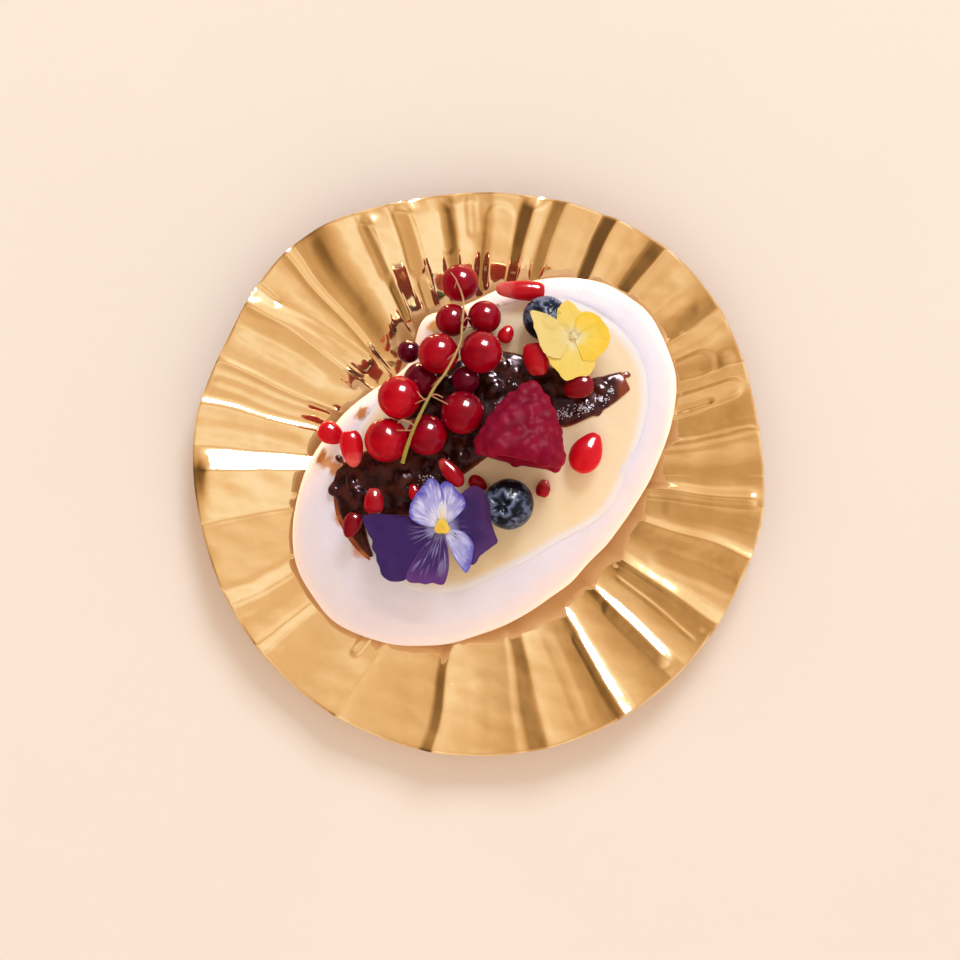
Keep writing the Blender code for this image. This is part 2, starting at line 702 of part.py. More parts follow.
def over_berry(x, y, berry):
    """The lowest a petal can lie over a berry, or nothing beside it."""
    off = math.hypot(x - berry.x, y - berry.y)
    wide = berry.radius + PETAL_CLEAR
    return berry.z + math.sqrt(wide**2 - off**2) if off < wide else 0.0


def make_flower(name, middle, level, lean, outline, berry, material):
    """Petals as one thin sheet, cupped at the edge and draped over the berry under it."""
    spokes = {TURN * i / PETAL_SPOKES for i in range(PETAL_SPOKES)}
    angles = sorted({angle % TURN for angle, _ in outline} | spokes)
    angles = [a for i, a in enumerate(angles) if i == 0 or a - angles[i - 1] > PETAL_CLOSEST]

    def point(angle, share, side):
        x, y = polar(reach_at(outline, angle) * share, angle, middle)
        z = level + lean * (x - middle[0]) + PETAL_CUP * share**2
        z = max(z, over_berry(x, y, berry))
        return (x, y, z + side * PETAL_THICKNESS / 2)

    mesh = bmesh.new()
    rings = [[point(a, share, -1) for a in angles] for share in PETAL_RINGS]
    rings += [[point(a, share, 1) for a in angles] for share in reversed(PETAL_RINGS)]
    loft(mesh, rings, (*middle, level - PETAL_THICKNESS / 2), (*middle, level + PETAL_THICKNESS / 2))
    finish(name, mesh, material)


def main():
    for thing in list(bpy.data.objects):
        bpy.data.objects.remove(thing)
    gold = make_material("gold_glaze", (0.93, 0.62, 0.28), 0.08, 1.0)
    white = make_material("meringue_shell", (0.92, 0.86, 0.85), 0.55)
    cream = make_material("custard", (0.93, 0.75, 0.50), 0.45)
    jam = make_material("compote", (0.06, 0.010, 0.006), 0.15)
    red = make_material("currant_skin", (0.45, 0.003, 0.008), 0.08)
    green = make_material("stalk", (0.50, 0.35, 0.10), 0.5)
    seed_red = make_material("seed_flesh", (0.45, 0.01, 0.02), 0.12)
    pink = make_material("raspberry_skin", (0.38, 0.01, 0.04), 0.5)
    blue = make_material("blueberry_skin", (0.03, 0.035, 0.08), 0.4)
    purple = make_material("viola_petal", (0.06, 0.03, 0.12), 0.6)
    yellow = make_material("yellow_petal", (0.90, 0.60, 0.15), 0.6)

    make_plate(gold)
    make_meringue(white)
    make_cream(cream)
    make_compote(jam)
    for i, berry in enumerate(CURRANTS, 1):
        make_currant(f"currant_{i:02d}", berry, red)
    make_stalk(green)
    for i, berry in enumerate(BLUEBERRIES, 1):
        make_blueberry(f"blueberry_{i}", berry, blue)
    make_raspberry(pink)
    for i, seed in enumerate(SEEDS, 1):
        make_seed(f"seed_{i:02d}", seed, seed_red)
    near, far = BLUEBERRIES
    make_flower("viola", VIOLA_MIDDLE, VIOLA_LEVEL, VIOLA_LEAN, VIOLA_OUTLINE, near, purple)
    make_flower("yellow_flower", YELLOW_MIDDLE, YELLOW_LEVEL, YELLOW_LEAN, YELLOW_OUTLINE, far, yellow)


main()
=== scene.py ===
"""Looks of an oval pavlova on a fluted gold plate, heaped with berries, seeds and two edible flowers.

Pieces are modelled in millimetres, with the plate's foot at height 0, and are turned into metres as
they are delivered. Angles are in degrees, anticlockwise from +X. A form that a solid of the frame has
too, such as the plate's pleats, follows the same rule here on a finer mesh.
"""

import json
import logging
import math
from collections.abc import Callable, Iterator, Sequence
from contextlib import contextmanager
from dataclasses import dataclass, field
from enum import Enum

import bpy
import numpy as np
from mathutils import Matrix, Vector
from mathutils.bvhtree import BVHTree

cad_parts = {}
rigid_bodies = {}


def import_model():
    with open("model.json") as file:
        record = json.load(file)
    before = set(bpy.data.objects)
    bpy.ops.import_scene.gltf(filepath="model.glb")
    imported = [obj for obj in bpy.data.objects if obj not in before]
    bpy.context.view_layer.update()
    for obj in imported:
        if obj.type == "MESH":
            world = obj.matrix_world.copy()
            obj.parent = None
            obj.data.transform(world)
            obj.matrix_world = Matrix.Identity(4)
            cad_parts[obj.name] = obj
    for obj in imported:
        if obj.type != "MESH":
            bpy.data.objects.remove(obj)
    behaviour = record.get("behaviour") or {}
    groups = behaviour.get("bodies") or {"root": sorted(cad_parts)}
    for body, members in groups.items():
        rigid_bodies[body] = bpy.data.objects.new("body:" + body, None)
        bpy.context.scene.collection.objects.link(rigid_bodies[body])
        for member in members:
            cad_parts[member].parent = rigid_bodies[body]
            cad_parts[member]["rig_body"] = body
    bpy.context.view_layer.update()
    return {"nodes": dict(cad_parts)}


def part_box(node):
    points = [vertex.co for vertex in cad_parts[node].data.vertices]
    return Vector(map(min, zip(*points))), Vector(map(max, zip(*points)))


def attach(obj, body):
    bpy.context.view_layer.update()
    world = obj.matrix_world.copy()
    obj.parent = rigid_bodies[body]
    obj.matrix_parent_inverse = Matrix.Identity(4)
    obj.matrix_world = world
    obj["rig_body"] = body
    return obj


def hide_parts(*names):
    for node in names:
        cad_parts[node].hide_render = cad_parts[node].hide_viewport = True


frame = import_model()

MM = 0.001
TURN = 360.0
BODY = "root"

Array = np.ndarray
Colour = tuple[float, float, float]
Place = tuple[float, float, float]

log = logging.getLogger("pavlova")


# ---------------------------------------------------------------- numbers and curves


def smooth(x: Array) -> Array:
    """0 below 0, 1 above 1, and an S between."""
    x = np.clip(x, 0.0, 1.0)
    return x * x * (3 - 2 * x)


def signed(angle: Array) -> Array:
    """The same angle, between -180 and 180."""
    return (angle + 180) % TURN - 180


def soft_ramp(x: Array, soft: float) -> Array:
    """0 below 0 and x above it, with the corner rounded over 2 * soft."""
    bend = (x + soft) ** 2 / (4 * soft)
    return np.where(x <= -soft, 0.0, np.where(x >= soft, x, bend))


def cosine(angle: Array) -> Array:
    """Cosine of an angle in degrees."""
    return np.cos(np.radians(angle))


def sine(angle: Array) -> Array:
    """Sine of an angle in degrees."""
    return np.sin(np.radians(angle))


def bell(x: Array, spread: float) -> Array:
    """1 at 0, falling away to both sides over the spread."""
    return np.exp(-((x / spread) ** 2))


def ripples(x: Array, y: Array, size: float, seed: int, count: int = 7) -> Array:
    """A soft random surface between about -1 and 1.

    Args:
        x: Places along X.
        y: Places along Y.
        size: Length of its waves.
        seed: Picks one surface of many.
        count: How many waves cross in it.

    Returns:
        Its height at each place.
    """
    draw = np.random.default_rng(seed)
    total = np.zeros_like(x, dtype=float)
    for _ in range(count):
        heading, phase = draw.uniform(0, math.tau, 2)
        pitch = math.tau / (size * draw.uniform(0.7, 1.5))
        total += np.sin((x * math.cos(heading) + y * math.sin(heading)) * pitch + phase)
    return total / math.sqrt(count * 2)


def catmull(points: Array, at: Array) -> Array:
    """A smooth curve through points, at places counted in points."""
    last = len(points) - 1
    i = np.clip(at.astype(int), 0, last - 1)
    t = (at - i)[:, None]
    a, b, c, d = (points[np.clip(i + k, 0, last)] for k in (-1, 0, 1, 2))
    return 0.5 * (2 * b + (c - a) * t + (2 * a - 5 * b + 4 * c - d) * t**2 + (3 * b - a - 3 * c + d) * t**3)


# ---------------------------------------------------------------- the modelling bench


def only(piece: bpy.types.Object) -> None:
    """Selects one piece and nothing else."""
    bpy.ops.object.select_all(action="DESELECT")
    piece.select_set(True)
    bpy.context.view_layer.objects.active = piece


def add(primitive: Callable[..., set[str]], **settings: object) -> bpy.types.Object:
    """Adds a primitive with nothing else selected.

    Args:
        primitive: The operator that adds it.
        settings: Its size, place and fineness.

    Returns:
        The new object.
    """
    bpy.ops.object.select_all(action="DESELECT")
    primitive(**settings)
    return bpy.context.view_layer.objects.active


@contextmanager
def editing(piece: bpy.types.Object) -> Iterator[None]:
    """Opens a piece in edit mode, with all of it selected."""
    only(piece)
    bpy.ops.object.mode_set(mode="EDIT")
    bpy.ops.mesh.select_all(action="SELECT")
    yield
    bpy.ops.object.mode_set(mode="OBJECT")


def points_of(piece: bpy.types.Object) -> Array:
    """The piece's vertices as rows of x, y and z."""
    flat = np.empty(len(piece.data.vertices) * 3)
    piece.data.vertices.foreach_get("co", flat)
    return flat.reshape(-1, 3)


def reshape(piece: bpy.types.Object, points: Array) -> None:
    """Moves the piece's vertices to new places."""
    piece.data.vertices.foreach_set("co", np.ascontiguousarray(points, dtype=float).ravel())
    piece.data.update()


def select_where(piece: bpy.types.Object, wanted: Array) -> None:
    """Selects the vertices that the mask names, and the edges between them. Called in object mode."""
    data = piece.data
    data.vertices.foreach_set("select", wanted)
    edges = np.empty(len(data.edges) * 2, int)
    data.edges.foreach_get("vertices", edges)
    data.edges.foreach_set("select", wanted[edges.reshape(-1, 2)].all(axis=1))
    data.polygons.foreach_set("select", np.zeros(len(data.polygons), bool))


def modify(piece: bpy.types.Object, kind: str, **settings: object) -> None:
    """Adds a modifier with these settings and applies it."""
    only(piece)
    modifier = piece.modifiers.new(kind.title(), kind)
    for name, value in settings.items():
        setattr(modifier, name, value)
    bpy.ops.object.modifier_apply(modifier=modifier.name)


def place(piece: bpy.types.Object, matrix: Matrix) -> bpy.types.Object:
    """Puts a piece somewhere by moving its mesh, so that its object stays at the origin."""
    piece.data.transform(matrix)
    return piece


def copy_of(piece: bpy.types.Object) -> bpy.types.Object:
    """A copy with its own mesh."""
    twin = piece.copy()
    twin.data = piece.data.copy()
    bpy.context.scene.collection.objects.link(twin)
    return twin


def join(pieces: Sequence[bpy.types.Object]) -> bpy.types.Object:
    """Joins pieces into the first one, each keeping its material."""
    only(pieces[0])
    for piece in pieces:
        piece.select_set(True)
    bpy.ops.object.join()
    return pieces[0]


def dress(piece: bpy.types.Object, material: bpy.types.Material) -> bpy.types.Object:
    """Gives a piece one material all over."""
    piece.data.materials.clear()
    piece.data.materials.append(material)
    return piece


def remember(piece: bpy.types.Object, name: str, values: Array) -> None:
    """Keeps a number for each vertex under a name that materials can read."""
    attribute = piece.data.attributes.new(name, "FLOAT", "POINT")
    attribute.data.foreach_set("value", values.astype(np.float32))


def aim(direction: Vector) -> Matrix:
    """The turn that points +Z along a direction."""
    return direction.to_track_quat("Z", "Y").to_matrix().to_4x4()


def closed_disc(steps: int, top: Sequence[float], under: Sequence[float]) -> bpy.types.Object:
    """A flat disc of radius 1 with two skins that meet at its edge.

    Its edge is pulled inwards ring by ring to the middle, once for the top and once, 1 lower, for the
    underside.

    Args:
        steps: Points round it.
        top: Radii of the top's rings, from the edge inwards, without the edge and the middle.
        under: Radii of the underside's rings, in the same order.

    Returns:
        The disc, with its top at height 0 and its underside at height -1.
    """
    disc = add(bpy.ops.mesh.primitive_circle_add, vertices=steps, radius=1.0, fill_type="NOTHING")
    for drop, rings in ((0.0, top), (-1.0, under)):
        points = points_of(disc)
        select_where(disc, (np.hypot(points[:, 0], points[:, 1]) > 0.9999) & (points[:, 2] == 0))
        only(disc)
        bpy.ops.object.mode_set(mode="EDIT")
        previous = 1.0
        for ring in rings:
            bpy.ops.mesh.extrude_edges_move(TRANSFORM_OT_translate={"value": (0, 0, drop)})
            size = ring / previous
            bpy.ops.transform.resize(value=(size, size, 1), center_override=(0, 0, 0))
            previous, drop = ring, 0.0
        bpy.ops.mesh.extrude_edges_move(TRANSFORM_OT_translate={"value": (0, 0, 0)})
        bpy.ops.mesh.merge(type="CENTER")
        bpy.ops.object.mode_set(mode="OBJECT")
    return disc


def tube(route: Array, halves: Array, sides: int = 10) -> bpy.types.Object:
    """A round tube with closed ends: a ball drawn out along a route.

    Args:
        route: Points along its middle.
        halves: Its half width at each point.
        sides: Faces round it.

    Returns:
        The tube.
    """
    rows = len(route) + 1
    piece = add(bpy.ops.mesh.primitive_uv_sphere_add, segments=sides, ring_count=rows, radius=1.0)
    points = points_of(piece)
    row = np.round(np.arccos(np.clip(points[:, 2], -1, 1)) / math.pi * rows).astype(int) - 1
    row = np.clip(row, 0, len(route) - 1)
    girth = np.hypot(points[:, 0], points[:, 1])
    around = points[:, :2] * np.where(girth > 1e-5, 1 / np.maximum(girth, 1e-5), 0.0)[:, None]
    ahead = np.gradient(route, axis=0)
    ahead /= np.linalg.norm(ahead, axis=1)[:, None]
    side = np.cross(ahead, (0.0, 0.0, 1.0))
    side /= np.linalg.norm(side, axis=1)[:, None]
    up = np.cross(side, ahead)
    offset = around[:, :1] * side[row] + around[:, 1:] * up[row]
    reshape(piece, route[row] + offset * halves[row, None])
    return piece


def deliver(
    piece: bpy.types.Object,
    name: str,
    slot: str,
    *nodes: str,
    sharp: float = 60.0,
) -> bpy.types.Object:
    """Finishes a piece and ties it to the frame.

    Args:
        piece: The dressed piece, in millimetres.
        name: Its name in the finished part.
        slot: The record's material slot that its finish belongs to. Not used.
        nodes: The frame's solids that it stands for.
        sharp: Edges bent by more than this many degrees stay crisp.

    Returns:
        The piece, in metres.
    """
    with editing(piece):
        bpy.ops.mesh.normals_make_consistent(inside=False)
    place(piece, Matrix.Scale(MM, 4))
    bpy.ops.object.shade_smooth_by_angle(angle=math.radians(sharp))
    piece.name = name
    piece.data.name = name
    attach(piece, BODY)
    if nodes:
        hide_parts(*nodes)
    log.info("%s: %d faces", name, len(piece.data.polygons))
    return piece


def node_box(node: str) -> tuple[Array, Array]:
    """Lowest and highest corner of a solid of the frame, in millimetres."""
    low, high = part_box(node)
    return np.array(low) / MM, np.array(high) / MM


def node_points(node: str) -> Array:
    """Vertices of a solid of the frame, in millimetres."""
    return points_of(frame["nodes"][node]) / MM


class Ground:
    """The surface that toppings lie on, felt from above."""

    def __init__(self, pieces: Sequence[bpy.types.Object]) -> None:
        """Takes pieces that are still in millimetres, or delivered ones in metres."""
        points: list[Vector] = []
        faces: list[tuple[int, ...]] = []
        for piece in pieces:
            size = 1 / MM if "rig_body" in piece else 1.0
            start = len(points)
            points += [v.co * size for v in piece.data.vertices]
            faces += [tuple(start + v for v in p.vertices) for p in piece.data.polygons]
        self.tree = BVHTree.FromPolygons(points, faces)

    def height(self, x: float, y: float) -> float:
        """Height of the surface at a place, or 0 beside it."""
        found = self.tree.ray_cast(Vector((x, y, 100.0)), Vector((0, 0, -1)))[0]
        return found.z if found else 0.0

    def heights(self, x: Array, y: Array) -> Array:
        """Height of the surface at each of many places."""
        return np.array([self.height(float(a), float(b)) for a, b in zip(x, y)])


# ---------------------------------------------------------------- painting


class Canvas:
    """A tree of nodes that is filled by short calls."""

    def __init__(self, tree: bpy.types.NodeTree) -> None:
        """Starts on a tree."""
        self.tree = tree

    def fill(self, socket: bpy.types.NodeSocket, value: object) -> None:
        """Links a socket to another one, or sets it to a constant."""
        if isinstance(value, bpy.types.NodeSocket):
            self.tree.links.new(value, socket)
        elif socket.type == "RGBA":
            socket.default_value = (*value, 1.0)
        else:
            socket.default_value = value

    def node(self, kind: str, settings: dict[str, object] | None = None, **sockets: object) -> bpy.types.Node:
        """Adds a node.

        Args:
            kind: Its type, without the words ShaderNode.
            settings: Properties to set on it.
            sockets: Inputs to fill, by name.

        Returns:
            The node.
        """
        node = self.tree.nodes.new("ShaderNode" + kind)
        for name, value in (settings or {}).items():
            setattr(node, name, value)
        for name, value in sockets.items():
            self.fill(node.inputs[name.replace("_", " ")], value)
        return node

    def calc(self, operation: str, first: object, second: object = 0.0) -> bpy.types.NodeSocket:
        """One step of arithmetic on two numbers."""
        node = self.tree.nodes.new("ShaderNodeMath")
        node.operation = operation
        self.fill(node.inputs[0], first)
        self.fill(node.inputs[1], second)
        return node.outputs[0]

    def vector(self, operation: str, first: object, second: object) -> bpy.types.NodeSocket:
        """One step of arithmetic on two vectors, which gives a vector or, for LENGTH, a number."""
        node = self.tree.nodes.new("ShaderNodeVectorMath")
        node.operation = operation
        self.fill(node.inputs[0], first)
        self.fill(node.inputs["Scale"] if operation == "SCALE" else node.inputs[1], second)
        return node.outputs[1 if operation in ("LENGTH", "DISTANCE") else 0]

    def mix(self, share: object, first: object, second: object, blend: str = "MIX") -> bpy.types.NodeSocket:
        """Mixes two colours."""
        node = self.tree.nodes.new("ShaderNodeMix")
        node.data_type = "RGBA"
        node.blend_type = blend
        self.fill(node.inputs[0], share)
        self.fill(node.inputs[6], first)
        self.fill(node.inputs[7], second)
        return node.outputs[2]

    def ramp(self, share: object, *stops: tuple[float, Colour]) -> bpy.types.NodeSocket:
        """A run of colours, as places from 0 to 1 with the colour at each."""
        node = self.tree.nodes.new("ShaderNodeValToRGB")
        elements = node.color_ramp.elements
        while len(elements) < len(stops):
            elements.new(0.5)
        for element, (at, colour) in zip(elements, stops):
            element.position = at
            element.color = (*colour, 1.0)
        self.fill(node.inputs[0], share)
        return node.outputs[0]

    def span(self, value: object, low: object, high: object) -> bpy.types.NodeSocket:
        """0 below low, 1 above high, and smooth between."""
        node = self.node("MapRange", {"interpolation_type": "SMOOTHSTEP"}, Value=value)
        self.fill(node.inputs[1], low)
        self.fill(node.inputs[2], high)
        return node.outputs[0]

    def noise(self, where: object, scale: object, detail: float = 2.0, twist: float = 0.0) -> bpy.types.NodeSocket:
        """Cloudy noise around 0.5, with a scale counted for each millimetre."""
        return self.node("TexNoise", Vector=where, Scale=scale, Detail=detail, Distortion=twist).outputs[0]

    def cells(self, where: object, scale: object, feature: str = "F1") -> bpy.types.NodeSocket:
        """Distance from the middle of a cell, or from its border."""
        return self.node("TexVoronoi", {"feature": feature}, Vector=where, Scale=scale).outputs["Distance"]

    def effect(self, effect: bpy.types.NodeTree, **sockets: object) -> bpy.types.NodeSocket:
        """Places a shared effect and gives its first output."""
        node = self.tree.nodes.new("ShaderNodeGroup")
        node.node_tree = effect
        for name, value in sockets.items():
            self.fill(node.inputs[name.replace("_", " ")], value)
        return node.outputs[0]


class Paint(Canvas):
    """A material under its maker's hands."""

    def __init__(self, name: str) -> None:
        """Starts a material with a plain Principled shader."""
        self.material = bpy.data.materials.new(name)
        self.material.use_nodes = True
        super().__init__(self.material.node_tree)
        self.shader = self.tree.nodes["Principled BSDF"]

    def millimetres(self) -> bpy.types.NodeSocket:
        """The place on the piece, in millimetres of the part's own frame."""
        return self.vector("SCALE", self.node("TexCoord").outputs["Object"], 1 / MM)

    def attribute(self, name: str) -> bpy.types.NodeSocket:
        """A number that the piece remembers for each vertex."""
        return self.node("Attribute", {"attribute_name": name}).outputs["Fac"]

    def uv(self) -> tuple[bpy.types.NodeSocket, bpy.types.NodeSocket]:
        """Both coordinates of the piece's own map."""
        split = self.node("SeparateXYZ", Vector=self.node("TexCoord").outputs["UV"])
        return split.outputs[0], split.outputs[1]

    def bump(self, height: object, depth: float, below: object = None) -> bpy.types.NodeSocket:
        """Relief of a height from 0 to 1 that stands for a depth in millimetres."""
        node = self.node("Bump", Height=height, Distance=depth * MM, Strength=1.0)
        if below is not None:
            self.fill(node.inputs["Normal"], below)
        return node.outputs[0]

    def skin(self, **sockets: object) -> None:
        """Fills sockets of the shader by name."""
        for name, value in sockets.items():
            self.fill(self.shader.inputs[name.replace("_", " ")], value)

    def flesh(self, weight: float, depth: float, reach: Colour) -> None:
        """Lets light into the piece: how much, how deep in millimetres, and how far for each colour."""
        self.skin(Subsurface_Weight=weight, Subsurface_Scale=depth * MM, Subsurface_Radius=reach)


def effect_tree(name: str, inputs: dict[str, str], output: tuple[str, str]) -> tuple[Canvas, bpy.types.Node]:
    """Starts a shared effect.

    Args:
        name: The group's name.
        inputs: Its inputs, as names with Float, Vector or Color.
        output: The name and kind of its one output.

    Returns:
        The canvas to fill, and the node that holds the inputs.
    """
    tree = bpy.data.node_groups.new(name, "ShaderNodeTree")
    for socket, kind in inputs.items():
        tree.interface.new_socket(socket, in_out="INPUT", socket_type="NodeSocket" + kind)
    tree.interface.new_socket(output[0], in_out="OUTPUT", socket_type="NodeSocket" + output[1])
    canvas = Canvas(tree)
    return canvas, tree.nodes.new("NodeGroupInput")


def finish_effect(canvas: Canvas, result: bpy.types.NodeSocket) -> bpy.types.NodeTree:
    """Leads a result out of a shared effect."""
    canvas.fill(canvas.tree.nodes.new("NodeGroupOutput").inputs[0], result)
    return canvas.tree


def make_mottle() -> bpy.types.NodeTree:
    """Soft uneven patches, from 0 to 1: noise of a scale, spread between two levels."""
    inputs = {"Place": "Vector", "Scale": "Float", "Low": "Float", "High": "Float"}
    canvas, given = effect_tree("Mottle", inputs, ("Mask", "Float"))
    cloud = canvas.noise(given.outputs["Place"], given.outputs["Scale"], 3.0)
    return finish_effect(canvas, canvas.span(cloud, given.outputs["Low"], given.outputs["High"]))


def make_stain() -> bpy.types.NodeTree:
    """One ragged spot round a place, from 0 outside to 1 in its middle."""
    inputs = {"Place": "Vector", "Middle": "Vector", "Reach": "Float", "Ragged": "Float"}
    canvas, given = effect_tree("Stain", inputs, ("Mask", "Float"))
    distance = canvas.vector("DISTANCE", given.outputs["Place"], given.outputs["Middle"])
    cloud = canvas.noise(given.outputs["Place"], 0.45, 4.0)
    ragged = canvas.calc("MULTIPLY", canvas.calc("SUBTRACT", cloud, 0.5), given.outputs["Ragged"])
    share = canvas.calc("DIVIDE", canvas.calc("ADD", distance, ragged), given.outputs["Reach"])
    return finish_effect(canvas, canvas.calc("SUBTRACT", 1.0, canvas.span(share, 0.35, 1.0)))


def make_streaks() -> bpy.types.NodeTree:
    """Fine lines that run along a petal or a fibre, from 0 to 1."""
    inputs = {"Across": "Float", "Along": "Float", "Count": "Float", "Low": "Float", "High": "Float"}
    canvas, given = effect_tree("Streaks", inputs, ("Mask", "Float"))
    across = canvas.calc("MULTIPLY", given.outputs["Across"], given.outputs["Count"])
    along = canvas.calc("MULTIPLY", given.outputs["Along"], 2.0)
    where = canvas.node("CombineXYZ", X=across, Y=along).outputs[0]
    cloud = canvas.noise(where, 1.0, 2.0)
    return finish_effect(canvas, canvas.span(cloud, given.outputs["Low"], given.outputs["High"]))


MOTTLE = make_mottle()
STAIN = make_stain()
STREAKS = make_streaks()


class Finish:
    """What every finish has: the way from its values to a material."""

    name = "finish"

    def paint(self, paint: Paint) -> None:
        """Fills the material's nodes."""
        raise NotImplementedError

    def material(self) -> bpy.types.Material:
        """The finished material."""
        paint = Paint(self.name)
        self.paint(paint)
        return paint.material


# ---------------------------------------------------------------- plate


@dataclass(frozen=True)
class Pleat:
    """A crease that runs from rim to well: where it meets the rim, and the width and slope of each side."""

    at: float
    before: float
    rise: float
    after: float
    fall: float
    turn: float = 0.0
    crest: float = 0.5
    ends: float = 200.0

    def direction(self, outward: Array) -> Array:
        """Its direction, where outward is 0 at the well and 1 at the rim."""
        return self.at + self.turn * (1 - outward)

    def height(self, past: Array, strength: Array) -> Array:
        """Height for each millimetre of radius, at angles past the crease, in degrees of slope."""
        soft = min(self.crest, self.before, self.after)
        rise = self.rise * soft_ramp(past + self.before, soft)
        rise += (self.fall - self.rise) * soft_ramp(past, max(soft, self.crest))
        rise -= self.fall * soft_ramp(past - self.after, soft)
        left_over = self.rise * self.before + self.fall * self.after
        way_up = left_over * np.clip((past + self.before) / (self.before + self.after), 0, 1)
        way_back = left_over * np.maximum(past - self.after, 0.0) / (TURN - self.before - self.after)
        return (rise - way_up) * strength + way_up - way_back


@dataclass(frozen=True)
class Fold:
    """A long bump or hollow with round ends, as a thumb leaves it.

    It has its direction and half width in degrees, its height in millimetres, the radii that it runs
    between, how soft its edge is as a share of its half width, and how far it turns inwards.
    """

    at: float
    half: float
    height: float
    start: float
    end: float
    soft: float = 0.6
    turn: float = 0.0

    def relief(self, radius: Array, angle: Array, outward: Array) -> Array:
        """Its height at each place."""
        half = np.radians(self.half) * (self.start + self.end) / 2
        across = np.radians(signed(angle - self.at - self.turn * (1 - outward))) * radius
        past_end = np.abs(radius - (self.start + self.end) / 2) - ((self.end - self.start) / 2 - half)
        distance = np.hypot(across, np.maximum(past_end, 0.0)) / half
        return self.height * smooth((1 - distance) / self.soft)


@dataclass(frozen=True)
class GoldGlaze(Finish):
    """Mirror-bright gold lustre over glaze, with faint clouds and pinholes."""

    name = "gold_glaze"
    gold: Colour = (0.95, 0.61, 0.26)
    pale: Colour = (0.97, 0.65, 0.30)
    roughness: float = 0.05
    clouded: float = 0.08

    def paint(self, paint: Paint) -> None:
        """Fills the material's nodes."""
        where = paint.millimetres()
        clouds = paint.effect(MOTTLE, Place=where, Scale=0.06, Low=0.35, High=0.7)
        pinholes = paint.effect(MOTTLE, Place=where, Scale=1.1, Low=0.72, High=0.78)
        wave = paint.noise(where, 0.11, 2.0)
        rough = paint.calc("MULTIPLY_ADD", clouds, self.clouded - self.roughness)
        paint.fill(rough.node.inputs[2], self.roughness)
        paint.skin(
            Base_Color=paint.mix(clouds, self.gold, self.pale),
            Metallic=0.95,
            Roughness=paint.calc("MAXIMUM", rough, paint.calc("MULTIPLY", pinholes, 0.25)),
            Normal=paint.bump(wave, 0.22),
        )


